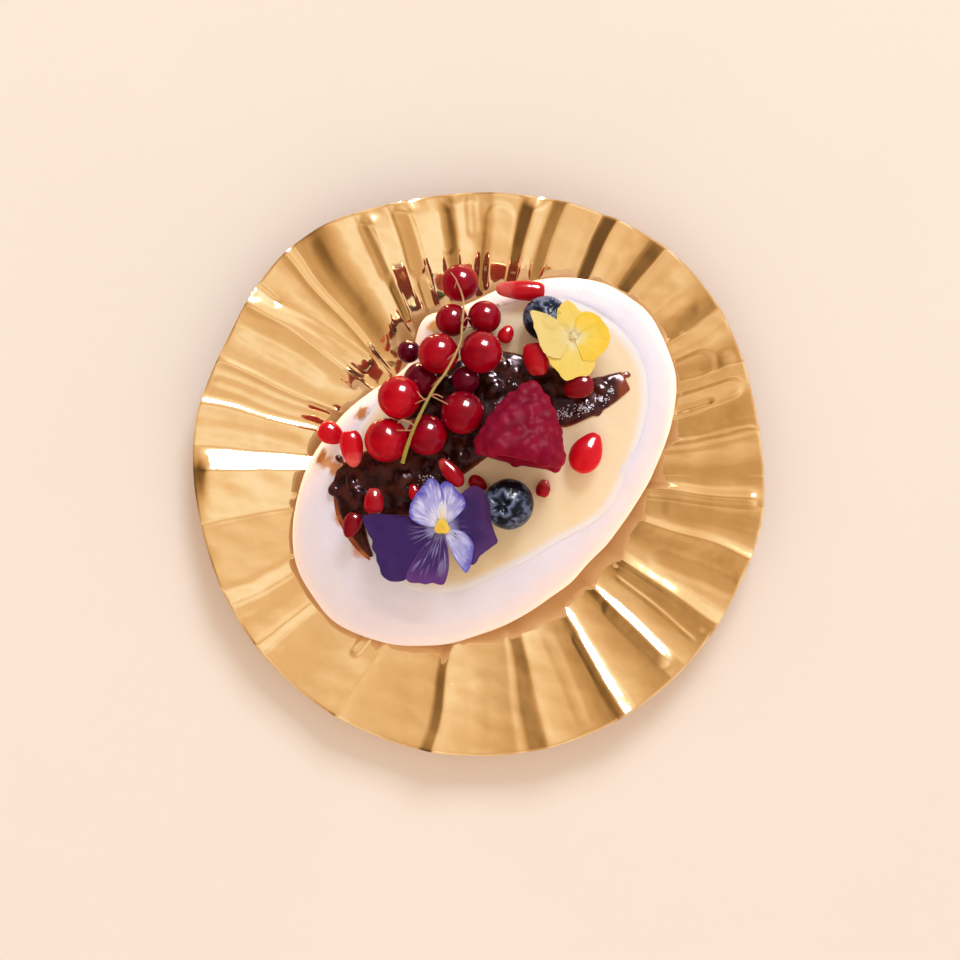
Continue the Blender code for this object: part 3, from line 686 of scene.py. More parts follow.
@dataclass(frozen=True)
class Plate:
    """A round plate of thin glazed ware, pleated from its well to its wavy rim."""

    reach: float = 78.4
    well: float = 35.0
    bend: float = 14.0
    slope: float = math.tan(math.radians(11.0))
    thickness: float = 2.4
    edge_thickness: float = 1.0
    lift: float = 0.030
    hollow: float = 0.16
    steps: int = 1440
    lip: float = 0.6
    wander: float = 0.45
    bulges: tuple[tuple[float, float, float], ...] = (
        (45, 26, 3.7),
        (130, 18, 3.9),
        (170, 16, 1.9),
        (352, 12, 1.4),
    )
    pleats: tuple[Pleat, ...] = (
        Pleat(9.0, 2.0, 0.12, 2.6, -0.14),
        Pleat(23.5, 2.0, 0.18, 1.3, -0.25, 3),
        Pleat(35.0, 3.0, 0.08, 1.2, -0.20),
        Pleat(50.5, 2.5, 0.45, 3.0, -0.38),
        Pleat(60.8, 2.8, 0.50, 3.0, -0.45),
        Pleat(72.0, 7.4, 0.28, 3.2, -0.30, 1),
        Pleat(78.4, 2.6, 0.50, 3.2, -0.50, 1, 0.5, 80),
        Pleat(87.0, 4.2, 0.18, 3.0, -0.22),
        Pleat(95.0, 3.0, 0.25, 3.0, -0.35, 0, 0.5, 80),
        Pleat(104.5, 4.0, 0.40, 3.8, -0.20, -2, 0.5, 80),
        Pleat(113.0, 3.6, 0.45, 2.4, -0.45, 1, 0.5, 80),
        Pleat(121.5, 5.0, 0.16, 7.6, -0.50, 0, 3.0),
        Pleat(131.4, 1.6, 0.50, 1.2, -0.40, -1),
        Pleat(143.0, 3.2, 0.35, 3.2, -0.20, -2),
        Pleat(156.3, 0.9, 0.40, 0.9, -0.40, 0, 0.5, 81),
        Pleat(165.3, 1.3, 0.42, 8.0, -0.14, -1),
        Pleat(178.9, 4.6, 0.47, 11.0, -0.17, -1, 0.5, 80),
        Pleat(204.0, 13.0, 0.10, 4.0, -0.24, 0, 1.2, 84),
        Pleat(217.5, 0.9, 0.35, 2.4, -0.25, -1),
        Pleat(239.4, 1.2, 0.30, 2.2, -0.25, 1),
        Pleat(260.6, 2.6, 0.50, 2.6, -0.30, 1),
        Pleat(279.0, 1.0, -0.30, 5.0, 0.26, 1, 1.2),
        Pleat(301.5, 2.2, 0.27, 2.2, -0.35, 1),
        Pleat(315.3, 2.0, 0.35, 2.0, -0.45, 0, 0.5, 76),
        Pleat(327.8, 2.2, 0.33, 3.0, -0.30, 2),
        Pleat(343.0, 1.2, 0.25, 1.8, -0.35, 2),
        Pleat(355.0, 1.5, 0.25, 2.2, -0.40, 0, 0.5, 80),
    )
    folds: tuple[Fold, ...] = (
        Fold(8.7, 2.1, 0.22, 40, 79, 0.5),
        Fold(18.9, 3.3, 0.30, 40, 78, 0.4),
        Fold(17.6, 1.2, -0.42, 57, 69, 0.9),
        Fold(25.2, 2.6, 0.34, 72.5, 79.5, 0.8),
        Fold(27.0, 4.6, 0.26, 40, 74, 0.3, -2),
        Fold(35.0, 0.9, 0.25, 62, 70, 0.9),
        Fold(39.0, 3.0, -0.20, 66, 78, 0.9),
        Fold(45.0, 2.5, 0.10, 55, 79, 0.9),
        Fold(66.0, 1.8, -0.12, 55, 79, 0.9),
        Fold(85.5, 4.2, 0.20, 50, 76.5, 0.35),
        Fold(91.5, 1.7, 0.28, 66, 78, 0.6),
        Fold(97.8, 2.0, -0.30, 62, 76, 0.6),
        Fold(107.0, 2.5, 0.30, 58, 78, 0.4, -1),
        Fold(106.5, 2.3, 0.25, 44, 58, 0.5, -1),
        Fold(115.0, 1.7, 0.30, 60, 78, 0.5),
        Fold(114.5, 1.8, 0.22, 46, 59, 0.5),
        Fold(126.0, 2.5, -0.15, 55, 82, 0.9),
        Fold(139.3, 1.2, -0.30, 73, 82, 0.9),
        Fold(142.5, 3.2, 0.32, 42, 81, 0.7, -9),
        Fold(149.0, 2.4, 0.14, 50, 80, 0.9),
        Fold(160.5, 1.8, 0.14, 44, 79, 0.9),
        Fold(170.0, 2.6, -0.12, 50, 82, 0.9),
        Fold(186.8, 2.2, 0.30, 43, 53, 0.9),
        Fold(197.5, 4.5, -0.34, 75, 84, 0.9),
        Fold(204.0, 1.0, 0.24, 49, 57, 0.6),
        Fold(210.0, 3.0, 0.12, 50, 82, 0.9),
        Fold(234.5, 2.0, 0.34, 44, 62, 0.6, 1),
        Fold(250.0, 4.0, -0.14, 58, 82, 0.9),
        Fold(270.0, 3.0, -0.12, 55, 80, 0.9),
        Fold(293.0, 2.4, 0.12, 48, 76, 0.9),
        Fold(300.8, 1.4, 0.18, 52, 80, 0.6),
        Fold(314.6, 2.6, 0.22, 50, 75, 0.45),
        Fold(322.6, 0.9, 0.16, 48, 76, 0.9, 1),
        Fold(325.4, 1.0, 0.12, 46, 76, 0.8, 1),
        Fold(336.0, 3.6, -0.16, 52, 80, 0.6),
        Fold(349.5, 2.2, 0.12, 52, 82, 0.9),
        Fold(354.5, 2.4, 0.22, 46, 78, 0.45),
    )

    def rim(self, angle: Array) -> Array:
        """The rim's radius in a direction."""
        return self.reach + sum(out * bell(signed(angle - at), spread) for at, spread, out in self.bulges)

    def sag(self, pleat: Pleat, following: Pleat, angle: Array, outward: Array) -> Array:
        """The shallow hollow between two pleats."""
        start = pleat.direction(outward) + pleat.after
        width = (following.direction(outward) - following.before - start) % TURN
        open_panel = (width > 0) & (width <= TURN / 2)
        across = ((angle - start) % TURN) / np.where(open_panel, width, 1.0) * 2 - 1
        return np.where(open_panel & (across < 1), -self.hollow * width / 4 * (1 - across**2), 0.0)

    def pleating(self, angle: Array, outward: Array) -> Array:
        """All the pleats' height together, for each millimetre of radius."""
        total = np.zeros_like(angle)
        radius = self.well + outward * (self.reach - self.well)
        for pleat, following in zip(self.pleats, self.pleats[1:] + self.pleats[:1]):
            before = pleat.before + pleat.crest
            past = (angle - pleat.direction(outward) + before) % TURN - before
            strength = smooth((pleat.ends - radius) / 5.0)
            total += pleat.height(past, strength) + self.sag(pleat, following, angle, outward)
        return np.radians(total)

    def top(self, radius: Array, angle: Array) -> Array:
        """Height of the upper face."""
        bend = np.clip((radius - self.well) / self.bend, 0.0, 1.0)
        height = self.thickness + self.bend * self.slope * (bend**3 - bend**4 / 2)
        height += np.maximum(radius - self.well - self.bend, 0.0) * self.slope
        outward = (radius - self.well) / (self.reach - self.well)
        return height + radius * smooth(bend) * (self.lift + self.pleating(angle, outward))

    def build(self) -> bpy.types.Object:
        """The plate: a disc of fine rings, pleated and folded."""
        rings = [0.998, 0.995, *np.linspace(0.990, 0.52, 50), 0.46, 0.38, 0.2]
        disc = closed_disc(self.steps, rings, [0.994, 0.975, 0.9, 0.78, 0.64, 0.5, 0.42, 0.2])
        flat = points_of(disc)
        share = np.hypot(flat[:, 0], flat[:, 1])
        angle = np.degrees(np.arctan2(flat[:, 1], flat[:, 0])) % TURN
        rim = self.rim(angle)
        radius = share * rim
        wavy = angle + self.wander * ripples(radius, angle * 0.8, 22.0, 2)
        height = self.top(radius, wavy)
        outward = (radius - self.well) / (self.reach - self.well)
        crisp = smooth((radius - self.well) / self.bend)
        for fold in self.folds:
            height += fold.relief(radius, wavy, outward)
        height += crisp * 0.06 * ripples(flat[:, 0] * rim, flat[:, 1] * rim, 9.0, 3)
        height -= self.lip * 0.25 * smooth(1 - (rim - radius) / self.lip) ** 2
        thinning = smooth(outward)
        wall = self.thickness + (self.edge_thickness - self.thickness) * thinning
        under = flat[:, 2] < -0.5
        height = np.where(under, np.maximum(height - wall, 0.0), height)
        low, high = node_box("plate")
        points = np.stack([radius * cosine(angle), radius * sine(angle), height], axis=1)
        reshape(disc, np.clip(points, low, high))
        dress(disc, GoldGlaze().material())
        return deliver(disc, "plate_ware", "gold_glaze", "plate", sharp=70)


# ---------------------------------------------------------------- meringue and cream


@dataclass(frozen=True)
class Spot:
    """A mark on the meringue: where it is, how far it reaches, its colour and its strength."""

    x: float
    y: float
    z: float
    reach: float
    colour: Colour
    strength: float = 1.0
    ragged: float = 4.0


@dataclass(frozen=True)
class MeringueShell(Finish):
    """Dry baked meringue with a satin face, toasted where it stands thin, and stained by the fruit."""

    name = "meringue_shell"
    white: Colour = (0.80, 0.685, 0.71)
    shade: Colour = (0.77, 0.655, 0.695)
    spots: tuple[Spot, ...] = (
        Spot(-12.5, 41.5, 20.0, 4.6, (0.50, 0.24, 0.08), 1.0, 5.0),
        Spot(-33.0, 17.8, 20.0, 3.6, (0.42, 0.17, 0.06), 1.0, 5.0),
        Spot(-28.0, 23.5, 19.4, 2.6, (0.50, 0.22, 0.08), 0.9, 4.0),
        Spot(-43.2, 4.8, 16.8, 3.2, (0.38, 0.14, 0.04), 1.0, 3.0),
        Spot(-41.0, 3.4, 19.2, 3.2, (0.60, 0.26, 0.09), 0.9),
        Spot(-38.6, 1.6, 21.2, 3.6, (0.60, 0.22, 0.06), 0.9),
        Spot(-21.0, 33.0, 20.0, 4.0, (0.58, 0.24, 0.10), 0.8),
        Spot(-38.0, -11.5, 24.5, 3.6, (0.58, 0.17, 0.04), 0.9, 3.0),
        Spot(-33.0, -20.5, 25.0, 3.4, (0.58, 0.17, 0.04), 0.8, 3.0),
        Spot(37.0, 28.0, 26.0, 4.0, (0.80, 0.50, 0.38), 0.6, 4.0),
    )

    def paint(self, paint: Paint) -> None:
        """Fills the material's nodes."""
        where = paint.millimetres()
        colour = paint.mix(
            paint.effect(MOTTLE, Place=where, Scale=0.05, Low=0.35, High=0.75), self.white, self.shade
        )
        for spot in self.spots:
            mask = paint.effect(
                STAIN, Place=where, Middle=(spot.x, spot.y, spot.z), Reach=spot.reach, Ragged=spot.ragged
            )
            colour = paint.mix(paint.calc("MULTIPLY", mask, spot.strength), colour, spot.colour)
        crust = paint.noise(where, 0.9, 5.0)
        pores = paint.calc("SUBTRACT", 1.0, paint.effect(MOTTLE, Place=where, Scale=2.2, Low=0.62, High=0.74))
        relief = paint.bump(crust, 0.10, paint.bump(pores, 0.05))
        paint.skin(Base_Color=colour, Roughness=0.5, Normal=relief, Specular_IOR_Level=0.01)
        paint.flesh(0.2, 2.0, (1.0, 0.9, 0.85))


@dataclass(frozen=True)
class Custard(Finish):
    """Thick smooth custard cream that thins to white where it runs out over the meringue."""

    name = "custard"
    cream: Colour = (0.87, 0.63, 0.39)
    thin: Colour = (0.85, 0.72, 0.68)
    deep: Colour = (0.87, 0.58, 0.30)

    def paint(self, paint: Paint) -> None:
        """Fills the material's nodes."""
        where = paint.millimetres()
        patches = paint.effect(MOTTLE, Place=where, Scale=0.07, Low=0.4, High=0.75)
        body = paint.mix(paint.calc("MULTIPLY", patches, 0.6), self.cream, self.deep)
        edge = paint.span(paint.attribute("edge"), 0.0, 1.0)
        relief = paint.bump(paint.noise(where, 0.5, 3.0), 0.12)
        paint.skin(Base_Color=paint.mix(edge, body, self.thin), Roughness=0.36, Normal=relief)
        paint.skin(Specular_IOR_Level=0.03)
        paint.flesh(0.15, 1.5, (1.0, 0.8, 0.6))


@dataclass(frozen=True)
class Dessert:
    """The oval meringue with a bowl pressed into it, and the custard cream that fills the bowl."""

    middle: tuple[float, float] = (2.2, 4.7)
    turn: float = 38.0
    half: tuple[float, float] = (61.0, 40.5)
    squareness: float = 2.1
    waves: tuple[tuple[int, float, float], ...] = ((1, -0.017, -0.035), (2, 0.015, 0.039), (3, 0.0, 0.012))
    dents: tuple[tuple[float, float, float], ...] = ((95, 19, 0.085), (76, 9, -0.125))
    trim: float = 0.985
    waist: float = 10.2
    crown_height: float = 16.3
    puff: float = 3.4
    foot: float = 0.74
    bowl_middle: tuple[float, float] = (5.0, 10.5)
    bowl_half: tuple[float, float] = (46.0, 30.5)
    bowl_squareness: float = 2.4
    bowl_depth: float = 8.0
    bowl_wall: float = 0.30
    cream_dip: float = 0.9
    cream_edge: float = 0.985
    ware: Plate = field(default_factory=Plate)

    @staticmethod
    def oval(half: tuple[float, float], squareness: float, angle: Array) -> Array:
        """Radius of a squarish oval in a direction from its long axis."""
        along = np.abs(cosine(angle) / half[0]) ** squareness
        across = np.abs(sine(angle) / half[1]) ** squareness
        return (along + across) ** (-1 / squareness)

    def outline(self, angle: Array) -> Array:
        """The meringue's radius in a direction from +X."""
        local = angle - self.turn
        share = np.full_like(local, self.trim, dtype=float)
        for count, straight, sideways in self.waves:
            share += straight * cosine(count * local) + sideways * sine(count * local)
        for at, spread, depth in self.dents:
            share -= depth * bell(signed(local - at), spread)
        return share * self.oval(self.half, self.squareness, local)

    def bowl(self, angle: Array) -> Array:
        """The bowl's radius in a direction from +X."""
        return self.oval(self.bowl_half, self.bowl_squareness, angle - self.turn)

    @staticmethod
    def share(x: Array, y: Array, middle: tuple[float, float], outline: Callable[[Array], Array]) -> Array:
        """How far out a place lies: 0 in the middle and 1 on the outline."""
        dx, dy = x - middle[0], y - middle[1]
        return np.hypot(dx, dy) / outline(np.degrees(np.arctan2(dy, dx)))

    def crown(self, x: Array, y: Array) -> Array:
        """The rounded top before the bowl is pressed in."""
        out = np.minimum(self.share(x, y, self.middle, self.outline), 1.0)
        return self.waist + self.crown_height * np.sqrt(1 - out**self.puff)

    def pressed(self, x: Array, y: Array) -> Array:
        """The top with its bowl."""
        inward = (1 - self.share(x, y, self.bowl_middle, self.bowl)) / self.bowl_wall
        return self.crown(x, y) - self.bowl_depth * smooth(inward)

    def strokes(self, x: Array, y: Array) -> Array:
        """Soft marks of the spatula round the rim."""
        angle = np.degrees(np.arctan2(y - self.middle[1], x - self.middle[0]))
        out = self.share(x, y, self.middle, self.outline)
        around = 0.35 * bell(out - 0.86 - 0.02 * sine(angle * 3), 0.035) * (0.4 + 0.6 * sine(angle * 2 + 20))
        around += 0.5 * bell(signed(angle - 292), 9) * bell(out - 0.84, 0.06)
        around -= 0.45 * bell(signed(angle - 16), 5) * bell(out - 0.88, 0.03)
        return around + 0.22 * ripples(x, y, 14.0, 11) + 0.06 * ripples(x, y, 4.5, 12)

    def build_meringue(self) -> bpy.types.Object:
        """The meringue shell."""
        around = np.linspace(0, 90, 60)[1:-1]
        rings = list(cosine(around) ** (2 / self.puff))
        disc = closed_disc(288, rings, [0.99, 0.97, 0.94, 0.9, 0.86, 0.8, 0.74, 0.5, 0.25])
        flat = points_of(disc)
        angle = np.degrees(np.arctan2(flat[:, 1], flat[:, 0]))
        share = np.hypot(flat[:, 0], flat[:, 1])
        reach = self.outline(angle)
        x = self.middle[0] + flat[:, 0] * reach
        y = self.middle[1] + flat[:, 1] * reach
        top = self.pressed(x, y) + self.strokes(x, y) * smooth((1 - share) / 0.06)
        up = np.clip((share - self.foot) / (1 - self.foot), 0, 1)
        rounded = self.thickness_up(up)
        radius, direction = np.hypot(x, y), np.degrees(np.arctan2(y, x)) % TURN
        floor = self.ware.top(radius, direction)
        under = np.maximum(self.ware.thickness + rounded, floor + 0.05)
        under = np.minimum(under, self.waist)
        height = np.where(flat[:, 2] < -0.5, under, np.where(share > 0.9999, self.waist, top))
        side = smooth(1 - np.abs(height - self.waist) / 9.0) * smooth((share - 0.85) / 0.15)
        bulge = 1 + side * 0.006 * ripples(angle * 0.35, height, 5.0, 21)
        x = self.middle[0] + (x - self.middle[0]) * bulge
        y = self.middle[1] + (y - self.middle[1]) * bulge
        reshape(disc, np.stack([x, y, height], axis=1))
        dress(disc, MeringueShell().material())
        return deliver(disc, "meringue_shell", "meringue_shell", "meringue", sharp=75)

    def thickness_up(self, up: Array) -> Array:
        """How far the underside has curved up, where up is 0 at its foot and 1 at its widest line."""
        return (self.waist - self.ware.thickness) * (1 - np.sqrt(np.maximum(1 - up**2, 0.0)))

    def cream_outline(self, angle: Array) -> Array:
        """The cream's own wandering edge."""
        wander = 0.010 * sine(angle * 3 + 40) + 0.004 * sine(angle * 7)
        wander += 0.17 * bell(signed(angle + 38), 24) + 0.10 * bell(signed(angle + 112), 24)
        wander += 0.07 * bell(signed(angle - 112), 18) + 0.06 * bell(signed(angle + 72), 16)
        wander -= 0.03 * bell(signed(angle - 12), 14)
        return self.bowl(angle) * (self.cream_edge + wander)

    def cream_top(self, x: Array, y: Array) -> Array:
        """Height of the cream's face."""
        out = np.minimum(self.share(x, y, self.bowl_middle, self.bowl), 1.05)
        swell = 0.35 * ripples(x, y, 17.0, 31) + 0.10 * ripples(x, y, 6.0, 32)
        return self.crown(x, y) - self.cream_dip * (1 - out**4) + swell * smooth((1.02 - out) / 0.25)

    def build_cream(self) -> bpy.types.Object:
        """The cream, with a rounded edge that lies on the meringue."""
        rings = [0.998, 0.992, 0.98, 0.96, 0.93, *np.linspace(0.9, 0.05, 40)]
        disc = closed_disc(256, rings, [0.95, 0.9, 0.7, 0.4])
        flat = points_of(disc)
        angle = np.degrees(np.arctan2(flat[:, 1], flat[:, 0]))
        share = np.hypot(flat[:, 0], flat[:, 1])
        reach = self.cream_outline(angle)
        x = self.bowl_middle[0] + flat[:, 0] * reach
        y = self.bowl_middle[1] + flat[:, 1] * reach
        ground = self.pressed(x, y) + self.strokes(x, y)
        edge = np.sqrt(np.clip((1 - share) / 0.05, 0, 1))
        top = np.maximum(self.cream_top(x, y), ground) + 0.14 * edge - 0.10
        under = ground - 0.3
        height = np.where(flat[:, 2] < -0.5, under, top)
        reshape(disc, np.stack([x, y, height], axis=1))
        remember(disc, "edge", smooth((share - 0.90) / 0.10))
        dress(disc, Custard().material())
        return deliver(disc, "cream_pool", "custard", "custard_cream")


# ---------------------------------------------------------------- compote


def fused(pieces: Sequence[bpy.types.Object], fineness: float, softening: int) -> bpy.types.Object:
    """Melts pieces into one skin.

    Args:
        pieces: Closed pieces that overlap.
        fineness: Size of the skin's faces, in millimetres.
        softening: How many times its bumps are smoothed.

    Returns:
        The one piece.
    """
    piece = join(pieces)
    modify(piece, "REMESH", mode="VOXEL", voxel_size=fineness)
    if softening:
        modify(piece, "SMOOTH", factor=0.5, iterations=softening)
    return piece


def lump(middle: Place, half: Place, turn: float = 0.0) -> bpy.types.Object:
    """A small rounded lump, for melting together with others."""
    piece = add(bpy.ops.mesh.primitive_ico_sphere_add, subdivisions=2, radius=1.0)
    spin = Matrix.Rotation(math.radians(turn), 4, "Z")
    return place(piece, Matrix.Translation(middle) @ spin @ Matrix.Diagonal((*half, 1.0)))


@dataclass(frozen=True)
class CompoteJam(Finish):
    """Dark sticky jam: black-brown where it is thick, and orange-brown where light gets through."""

    name = "compote"
    thick: Colour = (0.022, 0.005, 0.004)
    body: Colour = (0.070, 0.013, 0.008)
    thin: Colour = (0.24, 0.045, 0.011)

    def paint(self, paint: Paint) -> None:
        """Fills the material's nodes."""
        where = paint.millimetres()
        clots = paint.effect(MOTTLE, Place=where, Scale=0.35, Low=0.38, High=0.62)
        colour = paint.mix(clots, self.thick, self.body)
        colour = paint.mix(paint.span(paint.attribute("thin"), 0.25, 1.0), colour, self.thin)
        pulp = paint.bump(paint.noise(where, 0.28, 1.0), 0.10)
        beads = paint.bump(paint.noise(where, 0.9, 1.0), 0.02, pulp)
        paint.skin(
            Base_Color=colour,
            Roughness=paint.calc("MULTIPLY_ADD", clots, 0.1),
            Normal=beads,
            Specular_IOR_Level=0.20,
            Specular_Tint=(1.0, 0.80, 0.90),
        )
        paint.fill(paint.shader.inputs["Roughness"].links[0].from_node.inputs[2], 0.15)


@dataclass(frozen=True)
class Syrup(Finish):
    """Clear brown juice that has run out of the compote."""

    name = "fruit_syrup"
    pale: Colour = (0.46, 0.13, 0.030)
    deep: Colour = (0.28, 0.05, 0.014)

    def paint(self, paint: Paint) -> None:
        """Fills the material's nodes."""
        where = paint.millimetres()
        runs = paint.effect(MOTTLE, Place=where, Scale=0.3, Low=0.4, High=0.62)
        paint.skin(
            Base_Color=paint.mix(runs, self.pale, self.deep),
            Roughness=0.10,
            Normal=paint.bump(paint.noise(where, 0.5, 2.0), 0.15),
            Specular_IOR_Level=0.4,
        )
        paint.flesh(0.4, 1.0, (1.0, 0.4, 0.1))


@dataclass(frozen=True)
class GlintBead(Finish):
    """Tiny pale lilac beads that stand for the glints on the wet jam: painted highlights, though they are glossy and
    partly clear themselves.
    """

    name = "painted_glint_bead"
    colour: Colour = (0.86, 0.68, 0.82)

    def paint(self, paint: Paint) -> None:
        """Fills the material's nodes."""
        speckle = paint.effect(MOTTLE, Place=paint.millimetres(), Scale=2.0, Low=0.3, High=0.7)
        # Pale lilac and white beads: painted highlights where the jam glints.
        paint.skin(
            Base_Color=paint.mix(speckle, self.colour, (0.95, 0.90, 0.95)),
            Roughness=0.15,
            Transmission_Weight=0.35,
            IOR=1.5,
        )


@dataclass(frozen=True)
class Compote:
    """The compote that lies over the cream, with the juice and the beads of painted glint at its edges."""

    spines: tuple[tuple[tuple[float, float, float], ...], ...] = (
        (
            (-39.6, -2.4, 2.0),
            (-34.5, -2.2, 7.8),
            (-28.0, -2.4, 10.0),
            (-20.5, -1.6, 9.8),
            (-12.5, 5.0, 9.4),
            (-4.0, 11.0, 9.0),
            (3.0, 16.0, 8.0),
            (9.0, 20.0, 5.0),
        ),
        (
            (-24.0, 17.0, 2.5),
            (-17.5, 20.0, 5.5),
            (-10.0, 22.5, 7.5),
            (-1.0, 25.0, 7.8),
            (6.5, 27.0, 7.0),
            (13.6, 24.2, 7.4),
            (21.4, 20.2, 7.6),
            (28.0, 20.6, 5.8),
            (33.7, 22.6, 4.6),
            (37.0, 24.2, 3.8),
            (40.2, 25.9, 2.9),
        ),
        ((-35.4, -3.0, 4.4), (-34.8, -8.0, 4.2), (-33.8, -13.0, 3.0), (-31.8, -18.0, 1.8), (-29.2, -22.4, 0.6)),
    )
    thickness: float = 1.7
    spans: int = 70
    sides: int = 20
    lumps: int = 44
    edge_lumps: int = 46
    fineness: float = 0.34
    seed: int = 5
    runs: tuple[tuple[tuple[float, float, float], ...], ...] = (
        ((-39.0, -5.0, 0.9), (-37.6, -10.6, 1.5), (-34.4, -16.8, 1.5), (-31.4, -21.2, 0.9), (-29.8, -23.2, 0.2)),
    )
    # Patches of beads that paint glints: x, y, spread along x, spread along y, and count.
    glint_patches: tuple[tuple[float, float, float, float, int], ...] = (
        (22.6, 16.6, 3.0, 1.3, 60),
        (28.6, 18.2, 3.2, 1.4, 70),
        (33.2, 20.6, 2.4, 1.2, 36),
        (36.0, 23.0, 1.2, 0.9, 14),
        (6.6, 18.8, 2.2, 1.4, 16),
        (9.0, 24.6, 2.4, 1.4, 7),
        (-14.0, -1.2, 2.6, 1.6, 24),
        (-9.4, 0.4, 1.2, 1.0, 9),
    )
    glint_half: float = 0.17

    def band(self, ground: Ground, route: Array, above: float, below: float) -> bpy.types.Object:
        """A flat band along a route with half widths, laid on the ground."""
        at = np.linspace(0, len(route) - 1, self.spans)
        spine = catmull(route, at)
        middle = np.stack([spine[:, 0], spine[:, 1], np.zeros(self.spans)], axis=1)
        piece = tube(middle, np.maximum(spine[:, 2], 0.3), self.sides)
        points = points_of(piece)
        share = np.clip(points[:, 2] / np.abs(points[:, 2]).max(), -1, 1)
        height = ground.heights(points[:, 0], points[:, 1])
        row = np.abs(points[:, None, :2] - middle[None, :, :2]).sum(axis=2).argmin(axis=1)
        local = points[:, 2] / np.maximum(spine[row, 2], 0.3)
        fall = np.where(local > 0, above, below) * np.clip(local, -1, 1)
        reshape(piece, np.stack([points[:, 0], points[:, 1], height + fall], axis=1))
        return piece

    def build(self, ground: Ground) -> list[bpy.types.Object]:
        """The compote itself, its juice and its beads of painted glint."""
        draw = np.random.default_rng(self.seed)
        routes = [np.array(spine) for spine in self.spines]
        pieces = [self.band(ground, route, self.thickness, 0.5) for route in routes]
        for i in range(self.lumps):
            route = routes[i % 2]
            at = draw.uniform(0.7, len(route) - 1.9)
            x, y, half = catmull(route, np.array([at]))[0]
            x += draw.uniform(-0.8, 0.8) * half * 0.7
            y += draw.uniform(-0.8, 0.8) * half * 0.7
            size = draw.uniform(1.5, 3.3)
            low = ground.height(x, y) + self.thickness * 0.35
            pieces.append(lump((x, y, low), (size, size * draw.uniform(0.6, 1.0), size * 0.8), draw.uniform(0, 180)))
        for i in range(self.edge_lumps):
            route = routes[i % 2]
            at = draw.uniform(0.8, len(route) - 1.3)
            x, y, half = catmull(route, np.array([at]))[0]
            heading = draw.uniform(0, TURN)
            x += cosine(np.array(heading)) * half * draw.uniform(0.9, 1.08)
            y += sine(np.array(heading)) * half * draw.uniform(0.9, 1.08)
            size = draw.uniform(0.8, 1.9)
            pieces.append(lump((x, y, ground.height(x, y) + 0.2), (size, size * 0.7, size * 0.6), draw.uniform(0, 180)))
        jam = fused(pieces, self.fineness, 14)
        points = points_of(jam)
        height = ground.heights(points[:, 0], points[:, 1])
        above = points[:, 2] - height
        points[:, 2] += smooth(above) * 0.25 * ripples(points[:, 0], points[:, 1], 5.0, 41, 13)
        points[:, 2] = np.minimum(points[:, 2], height + self.thickness + 1.3)
        reshape(jam, points)
        tip = 0.9 * smooth((points[:, 0] - 35.5) / 4.0) + 0.4 * smooth((-13.0 - points[:, 1]) / 4.0)
        remember(jam, "thin", np.maximum(1 - smooth((above - 0.2) / 1.1), tip))
        dress(jam, CompoteJam().material())
        made = [deliver(jam, "compote_jam", "compote", "berry_compote", sharp=180)]
        syrup = Syrup().material()
        for i, run in enumerate(self.runs, 1):
            piece = dress(self.band(ground, np.array(run), 0.16, 0.3), syrup)
            made.append(deliver(piece, f"syrup_run_{i}", "compote", sharp=180))
        made.append(self.build_glint_beads(Ground([made[0]]), draw))
        return made

    def build_glint_beads(self, ground: Ground, draw: np.random.Generator) -> bpy.types.Object:
        """The pale beads that paint the jam's glints, as one piece."""
        glint_beads = []
        for x, y, reach, depth, count in self.glint_patches:
            for _ in range(count):
                px = x + draw.normal() * reach * 0.5
                py = y + draw.normal() * depth * 0.5
                top = ground.height(px, py)
                if top == 0.0:
                    continue
                glint_bead = add(bpy.ops.mesh.primitive_ico_sphere_add, subdivisions=1, radius=1.0)
                half = self.glint_half * draw.uniform(0.6, 1.5)
                shape = Matrix.Diagonal((half * draw.uniform(1, 1.8), half, half * 0.9, 1.0))
                turn = Matrix.Rotation(draw.uniform(0, math.pi), 4, "Z")
                glint_beads.append(place(glint_bead, Matrix.Translation((px, py, top + half * 0.4)) @ turn @ shape))
        piece = dress(join(glint_beads), GlintBead().material())
        return deliver(piece, "painted_glint_beads", "compote", sharp=20)


# ---------------------------------------------------------------- currants and their stalk


def ball(segments: int, rings: int) -> tuple[bpy.types.Object, Array]:
    """A round ball of radius 1 with its pole up, and its points."""
    piece = add(bpy.ops.mesh.primitive_uv_sphere_add, segments=segments, ring_count=rings, radius=1.0)
    return piece, points_of(piece)


@dataclass(frozen=True)
class CurrantSkin(Finish):
    """Clear red skin over juicy flesh, with faint paler lines from pole to pole, and painted shade that darkens the
    berries lying in shadow.
    """

    name = "currant_skin"
    red: Colour = (0.50, 0.001, 0.008)
    deep: Colour = (0.30, 0.0, 0.006)
    vein: Colour = (0.60, 0.008, 0.014)
    # The deep maroon of the painted shade.
    shaded_red: Colour = (0.085, 0.0, 0.010)

    def paint(self, paint: Paint) -> None:
        """Fills the material's nodes."""
        where = paint.millimetres()
        across, along = paint.uv()
        cloud = paint.effect(MOTTLE, Place=where, Scale=0.16, Low=0.35, High=0.7)
        veins = paint.effect(STREAKS, Across=across, Along=along, Count=26.0, Low=0.52, High=0.72)
        colour = paint.mix(cloud, self.red, self.deep)
        colour = paint.mix(paint.calc("MULTIPLY", veins, 0.5), colour, self.vein)
        # Painted shade: each berry is darkened towards maroon by its own share, most for those in the middle and at the
        # back of the bunch.
        colour = paint.mix(paint.attribute("shade"), colour, self.shaded_red)
        paint.skin(
            Base_Color=colour,
            Roughness=0.15,
            Specular_IOR_Level=0.17,
            Specular_Tint=(1.0, 0.85, 0.87),
            Normal=paint.bump(paint.noise(where, 0.35, 1.0), 0.012),
        )
        paint.flesh(0.35, 2.5, (1.0, 0.05, 0.05))


